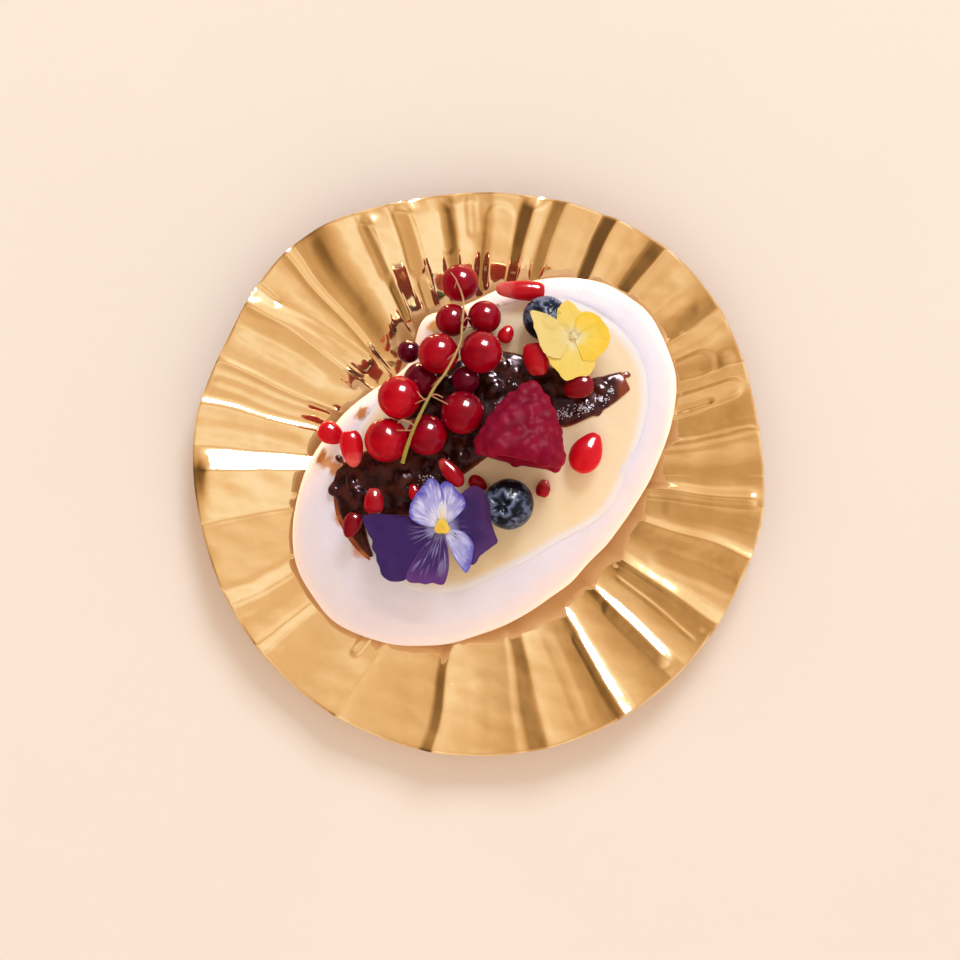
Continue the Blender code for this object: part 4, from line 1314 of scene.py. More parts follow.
@dataclass(frozen=True)
class DriedCalyx(Finish):
    """The brown dried remains of the flower."""

    name = "dried_calyx"
    brown: Colour = (0.16, 0.055, 0.02)
    pale: Colour = (0.42, 0.20, 0.09)

    def paint(self, paint: Paint) -> None:
        """Fills the material's nodes."""
        where = paint.millimetres()
        specks = paint.effect(MOTTLE, Place=where, Scale=1.8, Low=0.4, High=0.62)
        paint.skin(
            Base_Color=paint.mix(specks, self.brown, self.pale),
            Roughness=0.8,
            Normal=paint.bump(paint.noise(where, 2.5, 3.0), 0.1),
        )


@dataclass(frozen=True)
class StalkSkin(Finish):
    """Straw-green stalk that turns pinkish brown towards its thin end."""

    name = "stalk"
    green: Colour = (0.33, 0.25, 0.045)
    straw: Colour = (0.46, 0.27, 0.085)
    brown: Colour = (0.50, 0.20, 0.11)

    def paint(self, paint: Paint) -> None:
        """Fills the material's nodes."""
        along = paint.attribute("along")
        where = paint.millimetres()
        colour = paint.mix(paint.span(along, 0.45, 0.95), self.straw, self.green)
        colour = paint.mix(paint.span(along, 0.0, 0.22), self.brown, colour)
        fibres = paint.noise(where, 1.6, 4.0)
        colour = paint.mix(paint.span(fibres, 0.55, 0.75), colour, (0.25, 0.14, 0.04))
        paint.skin(Base_Color=colour, Roughness=0.5, Normal=paint.bump(fibres, 0.12), Specular_IOR_Level=0.05)
        paint.flesh(0.15, 0.6, (0.8, 0.6, 0.2))


@dataclass(frozen=True)
class Currant:
    """One currant of the bunch: its solid, where its dried calyx looks, and where its stem leaves the stalk."""

    node: str
    calyx: Place
    stem_from: Place | None = None
    nudge: Place = (0.0, 0.15, 0.0)
    swell: float = 1.06
    # The share of painted shade on this berry.
    shade: float = 0.3

    def build(self, skin: bpy.types.Material, dried: bpy.types.Material) -> bpy.types.Object:
        """The berry with its calyx, and a dimple where the stem goes in."""
        low, high = node_box(self.node)
        middle, radius = (low + high) / 2 + np.array(self.nudge), float((high - low)[2]) / 2 * self.swell
        berry, points = ball(48, 32)
        from_stem = np.degrees(np.arccos(np.clip(-points[:, 2], -1, 1)))
        size = 1 - 0.05 * bell(from_stem, 14.0) - 0.012 * np.abs(points[:, 2]) ** 4
        reshape(berry, points * (radius * size)[:, None])
        dress(berry, skin)
        tuft, rim = ball(15, 8)
        lobes = 1 + 0.35 * np.cos(5 * np.arctan2(rim[:, 1], rim[:, 0]))
        flare = np.where(rim[:, 2] > 0, 0.55, 1.0)
        wide = np.stack([rim[:, 0] * lobes * flare, rim[:, 1] * lobes * flare, rim[:, 2] * 1.5], axis=1)
        reshape(tuft, wide * (0.17 * radius) + np.array((0, 0, radius * 0.98)))
        dress(tuft, dried)
        berry = join([berry, tuft])
        # How much painted shade the skin puts on this berry.
        remember(berry, "shade", np.full(len(points_of(berry)), self.shade))
        return place(berry, Matrix.Translation(middle) @ aim(Vector(self.calyx)))

    def stem_end(self) -> Array:
        """Where the stem goes in."""
        low, high = node_box(self.node)
        back = -np.array(self.calyx) / np.linalg.norm(self.calyx)
        return (low + high) / 2 + back * float((high - low)[2]) / 2 * 0.96


@dataclass(frozen=True)
class Bunch:
    """A bunch of red currants on its stalk."""

    currants: tuple[Currant, ...] = (
        Currant("currant_01", (0.3, 0.2, -0.9), (-6.0, 52.5, 28.4), (0.0, 0.8, 0.0), 1.09, 0.35),
        Currant("currant_02", (-0.6, 0.1, -0.8), (-4.4, 43.0, 33.2), shade=0.45),
        Currant("currant_03", (0.75, 0.65, -0.15), (-4.6, 39.5, 35.2), shade=0.4),
        Currant("currant_04", (-0.5, 0.3, -0.8), (-5.6, 33.0, 38.3)),
        Currant("currant_05", (0.93, -0.3, -0.2), (-5.2, 34.0, 37.9)),
        Currant("currant_06", (-0.7, 0.4, -0.6), (-9.6, 26.4, 39.7), shade=0.8),
        Currant("currant_07", (-0.8, 0.3, -0.5), (-13.4, 20.4, 40.2), shade=0),
        Currant("currant_08", (0.7, -0.4, -0.6), (-13.0, 21.2, 40.2), shade=0.45),
        Currant("currant_09", (-0.5, -0.5, -0.7), (-17.6, 11.8, 39.7), shade=0.12),
        Currant("currant_10", (0.5, -0.6, -0.6), (-16.8, 13.6, 39.8), shade=0.45),
        Currant("currant_11", (0.5, 0.2, -0.8), shade=0.9),
        Currant("currant_12", (-0.9, 0.3, -0.3), shade=0.95),
    )
    route: tuple[Place, ...] = (
        (-7.6, 55.0, 26.9),
        (-6.0, 52.5, 28.4),
        (-4.2, 47.0, 31.2),
        (-4.5, 40.5, 34.6),
        (-5.2, 34.8, 37.6),
        (-8.6, 27.7, 39.6),
        (-11.7, 23.4, 40.2),
        (-14.4, 18.5, 40.2),
        (-17.4, 12.2, 39.8),
        (-19.3, 7.0, 38.8),
        (-20.4, 3.2, 37.6),
    )
    halves: tuple[float, ...] = (0.16, 0.22, 0.27, 0.3, 0.33, 0.36, 0.39, 0.43, 0.48, 0.54, 0.60)
    curls: tuple[tuple[Place, ...], ...] = (
        ((-17.0, 13.0, 39.8), (-18.6, 14.0, 40.3), (-20.4, 14.6, 40.3), (-21.6, 13.7, 39.9)),
        ((-4.6, 40.4, 34.8), (-3.4, 42.0, 35.4), (-2.4, 41.8, 35.0)),
        ((-13.8, 19.6, 40.2), (-15.2, 20.6, 40.5), (-16.4, 22.2, 40.2)),
        ((-13.2, 20.8, 40.2), (-11.6, 21.4, 40.2), (-9.6, 20.6, 39.6)),
    )
    stem_half: float = 0.19

    def stem(self, currant: Currant) -> bpy.types.Object:
        """The thin stem between the stalk and a berry."""
        start, end = np.array(currant.stem_from), currant.stem_end()
        bend = (start + end) / 2 + np.array((0, 0, 0.5))
        route = catmull(np.stack([start, bend, end]), np.linspace(0, 2, 12))
        return tube(route, np.full(12, self.stem_half), 8)

    def build(self) -> list[bpy.types.Object]:
        """The berries and the stalk with its stems."""
        skin, dried = CurrantSkin().material(), DriedCalyx().material()
        made = []
        for currant in self.currants:
            number = currant.node.split("_")[1]
            made.append(
                deliver(currant.build(skin, dried), f"red_berry_{number}", "currant_skin", currant.node, sharp=80)
            )
        at = np.linspace(0, len(self.route) - 1, 90)
        route = catmull(np.array(self.route), at)
        halves = np.interp(at, np.arange(len(self.halves)), self.halves)
        halves *= 1 + 0.10 * np.sin(at * 7.3) * np.cos(at * 2.9)
        stalk = tube(route, halves, 12)
        parts = [stalk]
        for currant in self.currants:
            if currant.stem_from:
                parts.append(self.stem(currant))
        for curl in self.curls:
            line = catmull(np.array(curl), np.linspace(0, len(curl) - 1, 16))
            parts.append(tube(line, np.linspace(0.24, 0.15, 16), 8))
        for part in parts:
            points = points_of(part)
            along = np.clip((55.0 - points[:, 1]) / 52.0, 0, 1)
            remember(part, "along", along if part == stalk else np.full(len(points), 0.03))
        stalk = join(parts)
        dress(stalk, StalkSkin().material())
        made.append(deliver(stalk, "bunch_stalk", "stalk", "currant_stalk", sharp=80))
        return made


# ---------------------------------------------------------------- pomegranate seeds


@dataclass(frozen=True)
class SeedFlesh(Finish):
    """Juicy clear flesh: ruby round a pale seed that shows through at the narrow end."""

    name = "seed_flesh"
    ruby: Colour = (0.64, 0.004, 0.012)
    dark: Colour = (0.13, 0.001, 0.005)
    pale: Colour = (0.78, 0.16, 0.13)

    def paint(self, paint: Paint) -> None:
        """Fills the material's nodes."""
        where = paint.millimetres()
        cloud = paint.calc("MULTIPLY", paint.noise(where, 0.5, 2.0), 0.5)
        core = paint.calc("SUBTRACT", paint.calc("ADD", paint.attribute("core"), cloud), 0.25)
        # Each seed's shade darkens it: partly a deeper red of its own, partly painted shade on seeds lying in shadow,
        # as under the viola's petals.
        colour = paint.mix(paint.attribute("shade"), self.ruby, self.dark)
        colour = paint.mix(paint.span(core, 0.40, 1.15), colour, self.pale)
        paint.skin(
            Base_Color=colour,
            Roughness=0.15,
            Specular_IOR_Level=0.19,
            Specular_Tint=(1.0, 0.88, 0.88),
            Normal=paint.bump(paint.noise(where, 0.5, 1.0), 0.08),
        )
        paint.flesh(0.4, 2.0, (1.0, 0.10, 0.08))


@dataclass(frozen=True)
class Seed:
    """One seed: its solid, how dark it is (partly its own deeper red, partly painted shade where it lies in shadow),
    and how far its pale core shows.
    """

    node: str
    shade: float
    core: float
    flip: bool = False
    dimple: bool = False
    blunt: float = 3.2
    facet: float = 0.45

    def build(self, flesh: bpy.types.Material) -> bpy.types.Object:
        """The seed: a drop flattened by its neighbours into soft facets."""
        shell = node_points(self.node)
        middle = (shell.min(axis=0) + shell.max(axis=0)) / 2
        spread = shell[:, :2] - shell[:, :2].mean(axis=0)
        axis = np.linalg.eigh(spread.T @ spread)[1][:, 1]
        if ((spread @ axis) ** 3).sum() < 0:
            axis = -axis
        if self.flip:
            axis = -axis
        side = np.array((-axis[1], axis[0]))
        reach = (np.abs((shell[:, :2] - middle[:2]) @ np.stack([axis, side], axis=1))).max(axis=0)
        tall = (shell[:, 2].max() - shell[:, 2].min()) / 2
        number = int(self.node[-2:])
        draw = np.random.default_rng(100 + number)
        piece, points = ball(40, 28)
        walls = draw.normal(size=(11, 3))
        walls /= np.linalg.norm(walls, axis=1)[:, None]
        size = (np.maximum(points @ walls.T, 0) ** 9).sum(axis=1) ** (-1 / 9)
        size = 1 - self.facet * (1 - np.minimum(size, 1.25) / 1.25)
        points = points * size[:, None]
        along = np.clip(points[:, 2], -1, 1)
        girth = np.hypot(points[:, 0], points[:, 1])
        full = np.clip(1 - np.abs(along) ** self.blunt, 0, 1) ** 0.5
        narrow = (1 - 0.30 * smooth((along + 0.2) / 1.2)) * full / np.maximum(girth, 0.02)
        x = middle[0] + axis[0] * along * reach[0] + side[0] * points[:, 0] * narrow * reach[1]
        y = middle[1] + axis[1] * along * reach[0] + side[1] * points[:, 0] * narrow * reach[1]
        z = middle[2] + points[:, 1] * narrow * tall
        if self.dimple:
            z -= 0.5 * bell(along + 0.62, 0.2) * bell(points[:, 0], 0.25) * (points[:, 1] > 0)
        reshape(piece, np.stack([x, y, z], axis=1))
        remember(piece, "core", self.core * smooth((along + 0.5) / 1.3))
        # Darkness of this seed: its own tone together with painted shade.
        remember(piece, "shade", np.full(len(points), self.shade))
        return dress(piece, flesh)


@dataclass(frozen=True)
class Seeds:
    """The pomegranate seeds that lie about."""

    seeds: tuple[Seed, ...] = (
        Seed("seed_01", 0.1, 0.6),
        Seed("seed_02", 0.15, 0.9, blunt=6.5),
        Seed("seed_03", 0.35, 0.55, blunt=4.5),
        Seed("seed_04", 0.8, 0.1),
        Seed("seed_05", 0.0, 0.15, dimple=True, blunt=2.4, facet=0.1),
        Seed("seed_06", 0.1, 0.2),
        Seed("seed_07", 0.1, 0.8, True),
        Seed("seed_08", 0.6, 0.6),
        Seed("seed_09", 0.55, 0.65),
        Seed("seed_10", 0.5, 0.9, True),
        Seed("seed_11", 0.3, 0.2),
        Seed("seed_12", 0.6, 0.3),
        Seed("seed_13", 0.85, 0.35),
    )

    def build(self) -> list[bpy.types.Object]:
        """All the seeds."""
        flesh = SeedFlesh().material()
        return [
            deliver(seed.build(flesh), f"pomegranate_{seed.node[-2:]}", "seed_flesh", seed.node, sharp=180)
            for seed in self.seeds
        ]


# ---------------------------------------------------------------- raspberry


@dataclass(frozen=True)
class RaspberrySkin(Finish):
    """Soft downy drupelets, with a painted sheen: their proud tops are painted paler, as light grazing their fine hairs
    shows them.
    """

    name = "raspberry_skin"
    red: Colour = (0.26, 0.005, 0.024)
    deep: Colour = (0.18, 0.002, 0.015)
    # The paler red of the painted sheen on the drupelets' tops.
    bloom: Colour = (0.33, 0.016, 0.042)

    def paint(self, paint: Paint) -> None:
        """Fills the material's nodes."""
        where = paint.millimetres()
        colour = paint.mix(paint.effect(MOTTLE, Place=where, Scale=0.22, Low=0.35, High=0.7), self.red, self.deep)
        # Painted sheen: the proud tops of the drupelets are painted paler.
        colour = paint.mix(paint.calc("MULTIPLY", paint.attribute("bulge"), 0.2), colour, self.bloom)
        down = paint.noise(where, 3.5, 3.0)
        paint.skin(
            Base_Color=colour,
            Roughness=0.45,
            Specular_IOR_Level=0.02,
            Specular_Tint=(1.0, 0.6, 0.7),
            Normal=paint.bump(down, 0.06),
        )
        paint.flesh(0.3, 1.8, (1.0, 0.08, 0.12))


@dataclass(frozen=True)
class Raspberry:
    """A raspberry that lies on its side: drupelets round a hollow cup."""

    base: Place = (10.2, 3.0, 37.2)
    tip: Place = (14.6, 24.3, 34.5)
    radius: float = 13.6
    flatness: float = 0.72
    opening: float = 0.86
    shoulder: float = 0.16
    fullness: float = 1.3
    point: float = 0.55
    drupelet: float = 3.0
    count: int = 96
    fineness: float = 0.3
    seed: int = 8

    def girth(self, along: Array) -> Array:
        """Half width from the open end at 0 to the tip at 1."""
        opening = self.opening + (1 - self.opening) * smooth(along / self.shoulder)
        return self.radius * opening * np.maximum(1 - along**self.fullness, 0.0) ** self.point

    def place_on(self, along: Array, turn: Array, radius: Array) -> Array:
        """Places round the berry's axis, where turn is in degrees."""
        base, tip = np.array(self.base), np.array(self.tip)
        ahead = (tip - base) / np.linalg.norm(tip - base)
        side = np.cross(ahead, (0, 0, 1))
        side /= np.linalg.norm(side)
        up = np.cross(side, ahead)
        outward = side * cosine(turn)[:, None] + up * (sine(turn) * self.flatness)[:, None]
        return base + (tip - base) * along[:, None] + outward * radius[:, None]

    def core(self) -> bpy.types.Object:
        """The cup that the drupelets stand on, open at the stalk's end."""
        piece, points = ball(40, 40)
        along = (points[:, 2] + 1) / 2
        around = np.degrees(np.arctan2(points[:, 1], points[:, 0]))
        slope = np.hypot(points[:, 0], points[:, 1])
        outside = smooth((along - 0.08) / 0.05)
        girth = np.where(outside > 0.5, self.girth((along - 0.1) / 0.9) - 0.5, slope * self.radius * 0.9)
        depth = np.where(outside > 0.5, np.maximum((along - 0.1) / 0.9, 0.0), 0.45 * (1 - slope / 0.55))
        reshape(piece, self.place_on(np.clip(depth, 0.03, 0.97), around, np.maximum(girth, 0.0)))
        return piece

    def build(self) -> bpy.types.Object:
        """The berry: a cup and its drupelets, melted together."""
        draw = np.random.default_rng(self.seed)
        pieces = [self.core()]
        steps = np.linspace(0.05, 0.985, 200)
        filled = np.cumsum(self.girth(steps) + 0.8)
        for i in range(self.count):
            at = float(np.interp((i + 0.5) / self.count * filled[-1], filled, steps))
            half = self.drupelet * draw.uniform(0.50, 0.68)
            reach = float(self.girth(np.array(at))) - half * draw.uniform(0.92, 1.05)
            turn = i * 137.508 + draw.uniform(-9, 9)
            centre = self.place_on(np.array([at]), np.array([turn]), np.array([max(reach, 0.0)]))[0]
            bump = add(bpy.ops.mesh.primitive_ico_sphere_add, subdivisions=3, radius=half)
            pieces.append(place(bump, Matrix.Translation(centre)))
        berry = fused(pieces, self.fineness, 38)
        low, high = node_box("raspberry")
        points = points_of(berry)
        points[:, 2] = np.minimum(points[:, 2], high[2])
        reshape(berry, points)
        axis = np.array(self.tip) - np.array(self.base)
        along = np.clip((points - np.array(self.base)) @ axis / (axis @ axis), 0, 1)
        off = points - (np.array(self.base) + axis * along[:, None])
        proud = np.hypot(np.hypot(off[:, 0], off[:, 1]), off[:, 2] / self.flatness) - self.girth(along)
        # How proud each drupelet stands, which the skin turns into painted sheen.
        remember(berry, "bulge", smooth((proud + 1.2) / 1.4))
        dress(berry, RaspberrySkin().material())
        return deliver(berry, "raspberry_fruit", "raspberry_skin", "raspberry", sharp=180)


# ---------------------------------------------------------------- blueberries


@dataclass(frozen=True)
class BlueberrySkin(Finish):
    """Nearly black skin under a patchy blue bloom."""

    name = "blueberry_skin"
    dark: Colour = (0.005, 0.006, 0.010)
    blue: Colour = (0.016, 0.020, 0.038)
    bloom: Colour = (0.17, 0.19, 0.30)

    def paint(self, paint: Paint) -> None:
        """Fills the material's nodes."""
        where = paint.millimetres()
        patches = paint.effect(MOTTLE, Place=where, Scale=0.20, Low=0.42, High=0.60)
        rubbed = paint.effect(MOTTLE, Place=where, Scale=0.7, Low=0.35, High=0.6)
        colour = paint.mix(patches, self.dark, self.blue)
        waxy = paint.calc("MULTIPLY", paint.calc("MULTIPLY", patches, rubbed), paint.attribute("bloom"))
        waxy = paint.calc("MAXIMUM", waxy, paint.attribute("ring"))
        colour = paint.mix(waxy, colour, self.bloom)
        rough = paint.calc("ADD", paint.calc("MULTIPLY", waxy, 0.4), 0.22)
        paint.skin(Base_Color=colour, Roughness=rough, Normal=paint.bump(rubbed, 0.05), Specular_IOR_Level=0.12)


@dataclass(frozen=True)
class Blueberry:
    """One blueberry: its solid, and where its crown looks."""

    node: str
    crown_turn: float
    crown_tip: float
    seed: int
    flatness: float = 0.9
    crown_reach: float = 23.0
    crown_depth: float = 0.24
    crown_lip: float = 0.05

    def build(self, skin: bpy.types.Material) -> bpy.types.Object:
        """A slightly flat ball with a five-pointed crown pressed into it."""
        low, high = node_box(self.node)
        middle, radius = (low + high) / 2, float((high - low)[:2].max()) / 2
        piece, points = ball(80, 56)
        polar = np.degrees(np.arccos(np.clip(points[:, 2], -1, 1)))
        around = np.degrees(np.arctan2(points[:, 1], points[:, 0])) + 20 * self.seed
        edge = self.crown_reach * (1 + 0.22 * cosine(5 * around) + 0.07 * cosine(11 * around + 50))
        size = 1 - self.crown_depth * smooth((edge - polar) / 7.0)
        size += self.crown_lip * bell(polar - edge - 2.5, 4.0) * (0.7 + 0.3 * cosine(5 * around))
        size += 0.05 * bell(polar, 6.0)
        size += 0.012 * ripples(around * 0.05, polar * 0.05, 2.0, 60 + self.seed)
        shaped = points * (radius * size)[:, None]
        shaped[:, 2] *= self.flatness
        reshape(piece, shaped)
        remember(piece, "bloom", smooth((polar - edge * 0.9) / 6.0) * (0.45 + 0.55 * bell(polar - 38, 22.0)))
        remember(piece, "ring", 0.75 * bell(polar - edge - 4.0, 5.0))
        dress(piece, skin)
        turn = Matrix.Rotation(math.radians(self.crown_turn), 4, "Z")
        tip = Matrix.Rotation(math.radians(self.crown_tip), 4, "Y")
        place(piece, Matrix.Translation(middle) @ turn @ tip)
        number = self.node.split("_")[1]
        return deliver(piece, f"blueberry_fruit_{number}", "blueberry_skin", self.node, sharp=120)


# ---------------------------------------------------------------- flowers


@dataclass(frozen=True)
class PetalFinish(Finish):
    """A petal's colours from its foot to its edge, and the fine lines that run along it."""

    name: str = "petal"
    foot: Colour = (0.8, 0.8, 0.8)
    middle: Colour = (0.5, 0.5, 0.5)
    edge: Colour = (0.2, 0.2, 0.2)
    line: Colour = (1.0, 1.0, 1.0)
    foot_ends: float = 0.25
    edge_starts: float = 0.8
    lines: float = 0.5
    line_count: float = 14.0
    lines_end: float = 0.7
    clouds: float = 0.4
    whiskers: float = 0.0
    whisker: Colour = (0.010, 0.006, 0.020)

    def paint(self, paint: Paint) -> None:
        """Fills the material's nodes."""
        where = paint.millimetres()
        across, along = paint.uv()
        wander = paint.calc("MULTIPLY", paint.calc("SUBTRACT", paint.noise(where, 0.5, 3.0), 0.5), self.clouds)
        out = paint.calc("ADD", along, wander)
        colour = paint.mix(paint.span(out, self.foot_ends * 0.3, self.foot_ends * 1.7), self.foot, self.middle)
        colour = paint.mix(paint.span(out, self.edge_starts - 0.22, self.edge_starts + 0.14), colour, self.edge)
        streaks = paint.effect(STREAKS, Across=across, Along=along, Count=self.line_count, Low=0.50, High=0.66)
        fading = paint.calc("SUBTRACT", 1.0, paint.span(out, self.lines_end - 0.3, self.lines_end + 0.1))
        colour = paint.mix(
            paint.calc("MULTIPLY", paint.calc("MULTIPLY", streaks, fading), self.lines), colour, self.line
        )
        if self.whiskers:
            hairs = paint.effect(STREAKS, Across=across, Along=along, Count=9.0, Low=0.56, High=0.62)
            near = paint.calc("MULTIPLY", paint.span(along, 0.14, 0.2), paint.span(along, 0.52, 0.36))
            colour = paint.mix(paint.calc("MULTIPLY", paint.calc("MULTIPLY", hairs, near), self.whiskers), colour, self.whisker)
        veins = paint.effect(STREAKS, Across=across, Along=along, Count=30.0, Low=0.3, High=0.7)
        paint.skin(
            Base_Color=colour,
            Roughness=0.6,
            Specular_IOR_Level=0.012,
            Normal=paint.bump(veins, 0.05, paint.bump(paint.noise(where, 2.0, 3.0), 0.04)),
        )
        paint.flesh(0.2, 0.8, (1.0, 0.8, 0.8))


@dataclass(frozen=True)
class Petal:
    """One petal: its outline as directions and reaches from the flower's middle, its layer and finish."""

    outline: tuple[tuple[float, float], ...]
    layer: float
    finish: PetalFinish
    ruffle: float = 0.25
    curl: float = 0.0
    ragged: float = 0.016
    spokes: int = 44
    rings: int = 26

    def reach(self, share: Array) -> tuple[Array, Array]:
        """Direction and reach at shares across the petal, from 0 to 1."""
        line = np.array(self.outline)
        start, end = line[0, 0], line[-1, 0]
        heading = start + (end - start) * share
        at = np.interp(heading, line[:, 0], np.arange(len(line)))
        both = catmull(np.column_stack([line, np.zeros(len(line))]), at)
        return heading, np.maximum(both[:, 1], 1.0)


@dataclass(frozen=True)
class Flower:
    """An edible flower laid flat: its petals and the small heart in its middle."""

    name: str
    node: str
    slot: str
    middle: tuple[float, float]
    level: float
    lean: float
    petals: tuple[Petal, ...]
    seed: int
    heart: PetalFinish
    heart_size: tuple[float, float] = (1.9, 0.9)
    heart_lobes: float = 0.25
    cup: float = 0.8
    thickness: float = 0.24

    def build_petal(self, petal: Petal, ground: Ground, number: int) -> bpy.types.Object:
        """A petal, as a thin sheet that fans out from the flower's middle."""
        piece = add(
            bpy.ops.mesh.primitive_grid_add,
            x_subdivisions=petal.spokes,
            y_subdivisions=petal.rings,
            size=2.0,
        )
        points = points_of(piece)
        across, along = (points[:, 0] + 1) / 2, (points[:, 1] + 1) / 2
        heading, reach = petal.reach(across)
        ragged = petal.ragged * ripples(heading * 0.3, along, 3.2, self.seed + number) * smooth((along - 0.7) / 0.3)
        radius = 0.6 + (reach - 0.6) * along * (1 + ragged)
        x = self.middle[0] + radius * cosine(heading)
        y = self.middle[1] + radius * sine(heading)
        height = self.level + self.lean * (x - self.middle[0]) + self.cup * (radius / 14.0) ** 2
        height += petal.layer * smooth(along / 0.25) + petal.curl * along**3
        edge = smooth((along - 0.35) / 0.65)
        height += petal.ruffle * edge * ripples(x, y, 5.0, self.seed + 10 + number)
        height += 0.06 * ripples(heading * 0.12, along * 0.4, 2.0, self.seed + 20 + number) * smooth(along / 0.3)
        height = np.maximum(height, ground.heights(x, y) + 0.25 + petal.layer * 0.5)
        reshape(piece, np.stack([x, y, height], axis=1))
        dress(piece, petal.finish.material())
        modify(piece, "SOLIDIFY", thickness=self.thickness, offset=1.0)
        return piece

    def build_heart(self) -> bpy.types.Object:
        """The small three-lobed mound in the middle."""
        piece, points = ball(36, 20)
        around = np.degrees(np.arctan2(points[:, 1], points[:, 0]))
        wide = self.heart_size[0] * (1 + self.heart_lobes * cosine(3 * (around - 90)))
        top = self.level + max(petal.layer for petal in self.petals) + 0.35
        x = self.middle[0] + points[:, 0] * wide
        y = self.middle[1] + points[:, 1] * wide
        reshape(piece, np.stack([x, y, top + points[:, 2] * self.heart_size[1] - 0.15], axis=1))
        return dress(piece, self.heart.material())

    def build(self, ground: Ground) -> bpy.types.Object:
        """The petals and the heart as one piece."""
        petals = [self.build_petal(petal, ground, i) for i, petal in enumerate(self.petals)]
        return deliver(join([*petals, self.build_heart()]), self.name, self.slot, self.node, sharp=60)


VIOLET = PetalFinish(
    name="viola_left",
    foot=(0.42, 0.38, 0.62),
    middle=(0.042, 0.016, 0.092),
    edge=(0.044, 0.016, 0.088),
    line=(0.45, 0.40, 0.60),
    foot_ends=0.16,
    lines=0.55,
    lines_end=0.42,
    clouds=0.15,
)
STRIPED = PetalFinish(
    name="viola_bottom",
    foot=(0.30, 0.26, 0.40),
    middle=(0.056, 0.022, 0.105),
    edge=(0.120, 0.035, 0.155),
    line=(0.34, 0.27, 0.44),
    foot_ends=0.16,
    edge_starts=0.86,
    lines=0.75,
    line_count=13.0,
    lines_end=0.86,
    clouds=0.12,
)
LAVENDER_LOW = PetalFinish(
    name="viola_lower_right",
    foot=(0.66, 0.60, 0.74),
    middle=(0.37, 0.33, 0.56),
    edge=(0.13, 0.10, 0.42),
    line=(0.78, 0.72, 0.84),
    foot_ends=0.30,
    edge_starts=0.90,
    lines=0.55,
    lines_end=0.9,
    whiskers=0.95,
)
VIOLET_RIGHT = PetalFinish(
    name="viola_right",
    foot=(0.40, 0.36, 0.58),
    middle=(0.044, 0.019, 0.090),
    edge=(0.080, 0.030, 0.115),
    line=(0.20, 0.17, 0.34),
    foot_ends=0.20,
    edge_starts=0.82,
    lines=0.2,
    lines_end=0.6,
    clouds=0.15,
)
LAVENDER_HIGH = PetalFinish(
    name="viola_upper",
    foot=(0.74, 0.64, 0.68),
    middle=(0.38, 0.33, 0.58),
    edge=(0.10, 0.075, 0.38),
    line=(0.80, 0.74, 0.84),
    foot_ends=0.34,
    edge_starts=0.88,
    lines=0.6,
    line_count=17.0,
    lines_end=1.0,
    clouds=0.45,
)
THROAT = PetalFinish(
    name="viola_throat",
    foot=(0.80, 0.50, 0.22),
    middle=(0.84, 0.66, 0.50),
    edge=(0.72, 0.64, 0.74),
    line=(0.70, 0.62, 0.74),
    lines=0.4,
)
VIOLA_HEART = PetalFinish(
    name="viola_heart", foot=(0.80, 0.50, 0.06), middle=(0.82, 0.53, 0.07), edge=(0.78, 0.46, 0.06), lines=0.0
)
YELLOW_HEART = PetalFinish(
    name="yellow_heart", foot=(0.86, 0.66, 0.52), middle=(0.84, 0.62, 0.36), edge=(0.80, 0.64, 0.30), lines=0.0
)
YELLOW_PALE = PetalFinish(
    name="yellow_pale",
    foot=(0.80, 0.62, 0.30),
    middle=(0.80, 0.56, 0.18),
    edge=(0.80, 0.57, 0.20),
    line=(0.84, 0.66, 0.30),
    lines=0.4,
    clouds=0.5,
)
YELLOW_MIDDLE = PetalFinish(
    name="yellow_middle",
    foot=(0.80, 0.66, 0.38),
    middle=(0.82, 0.56, 0.13),
    edge=(0.82, 0.55, 0.115),
    line=(0.84, 0.66, 0.26),
    lines=0.4,
    clouds=0.5,
)
YELLOW_DEEP = PetalFinish(
    name="yellow_deep",
    foot=(0.82, 0.66, 0.34),
    middle=(0.86, 0.54, 0.070),
    edge=(0.85, 0.51, 0.050),
    line=(0.84, 0.64, 0.20),
    lines=0.4,
    clouds=0.5,
)

VIOLA = Flower(
    name="viola_bloom",
    node="viola",
    slot="viola_petal",
    middle=(-9.9, -14.0),
    level=32.7,
    lean=0.05,
    seed=300,
    heart=VIOLA_HEART,
    heart_size=(2.0, 0.6),
    heart_lobes=0.15,
    petals=(
        Petal(
            ((160, 5), (166, 13.5), (172, 21.4), (183, 20), (195, 19.5), (208, 19.8), (220, 20.8), (234, 18), (246, 9)),
            0.0,
            VIOLET,
        ),
        Petal(
            ((298, 6), (306, 12.6), (318, 12.9), (330, 13.4), (346, 15.2), (360, 13.5), (374, 13.3), (395, 14.6), (412, 14.0), (430, 6)),
            0.05,
            VIOLET_RIGHT,
        ),
        Petal(
            ((226, 8), (234, 16.5), (245, 16.6), (260, 15.5), (272, 15.2), (279, 11.5), (284, 7), (287, 3.5)),
            0.35,
            STRIPED,
        ),
        Petal(
            ((286, 3), (292, 9), (297.5, 13.7), (308, 12.6), (318, 11.0), (332, 9.4), (348, 6)),
            0.40,
            LAVENDER_LOW,
        ),
        Petal(((32, 4), (42, 8.5), (55, 9.8), (70, 10.8), (82, 12.2), (92, 11.3), (102, 5)), 0.45, LAVENDER_HIGH),
        Petal(
            ((82, 4), (93, 11.3), (104, 13.4), (115, 12.3), (125, 11.5), (144, 10.4), (157, 9.6), (168, 8), (180, 4)),
            0.75,
            LAVENDER_HIGH,
        ),
        Petal(((66, 2.6), (76, 5.2), (86, 7.2), (94, 6.6), (106, 4.6), (116, 2.6)), 0.95, THROAT, 0.1),
    ),
)
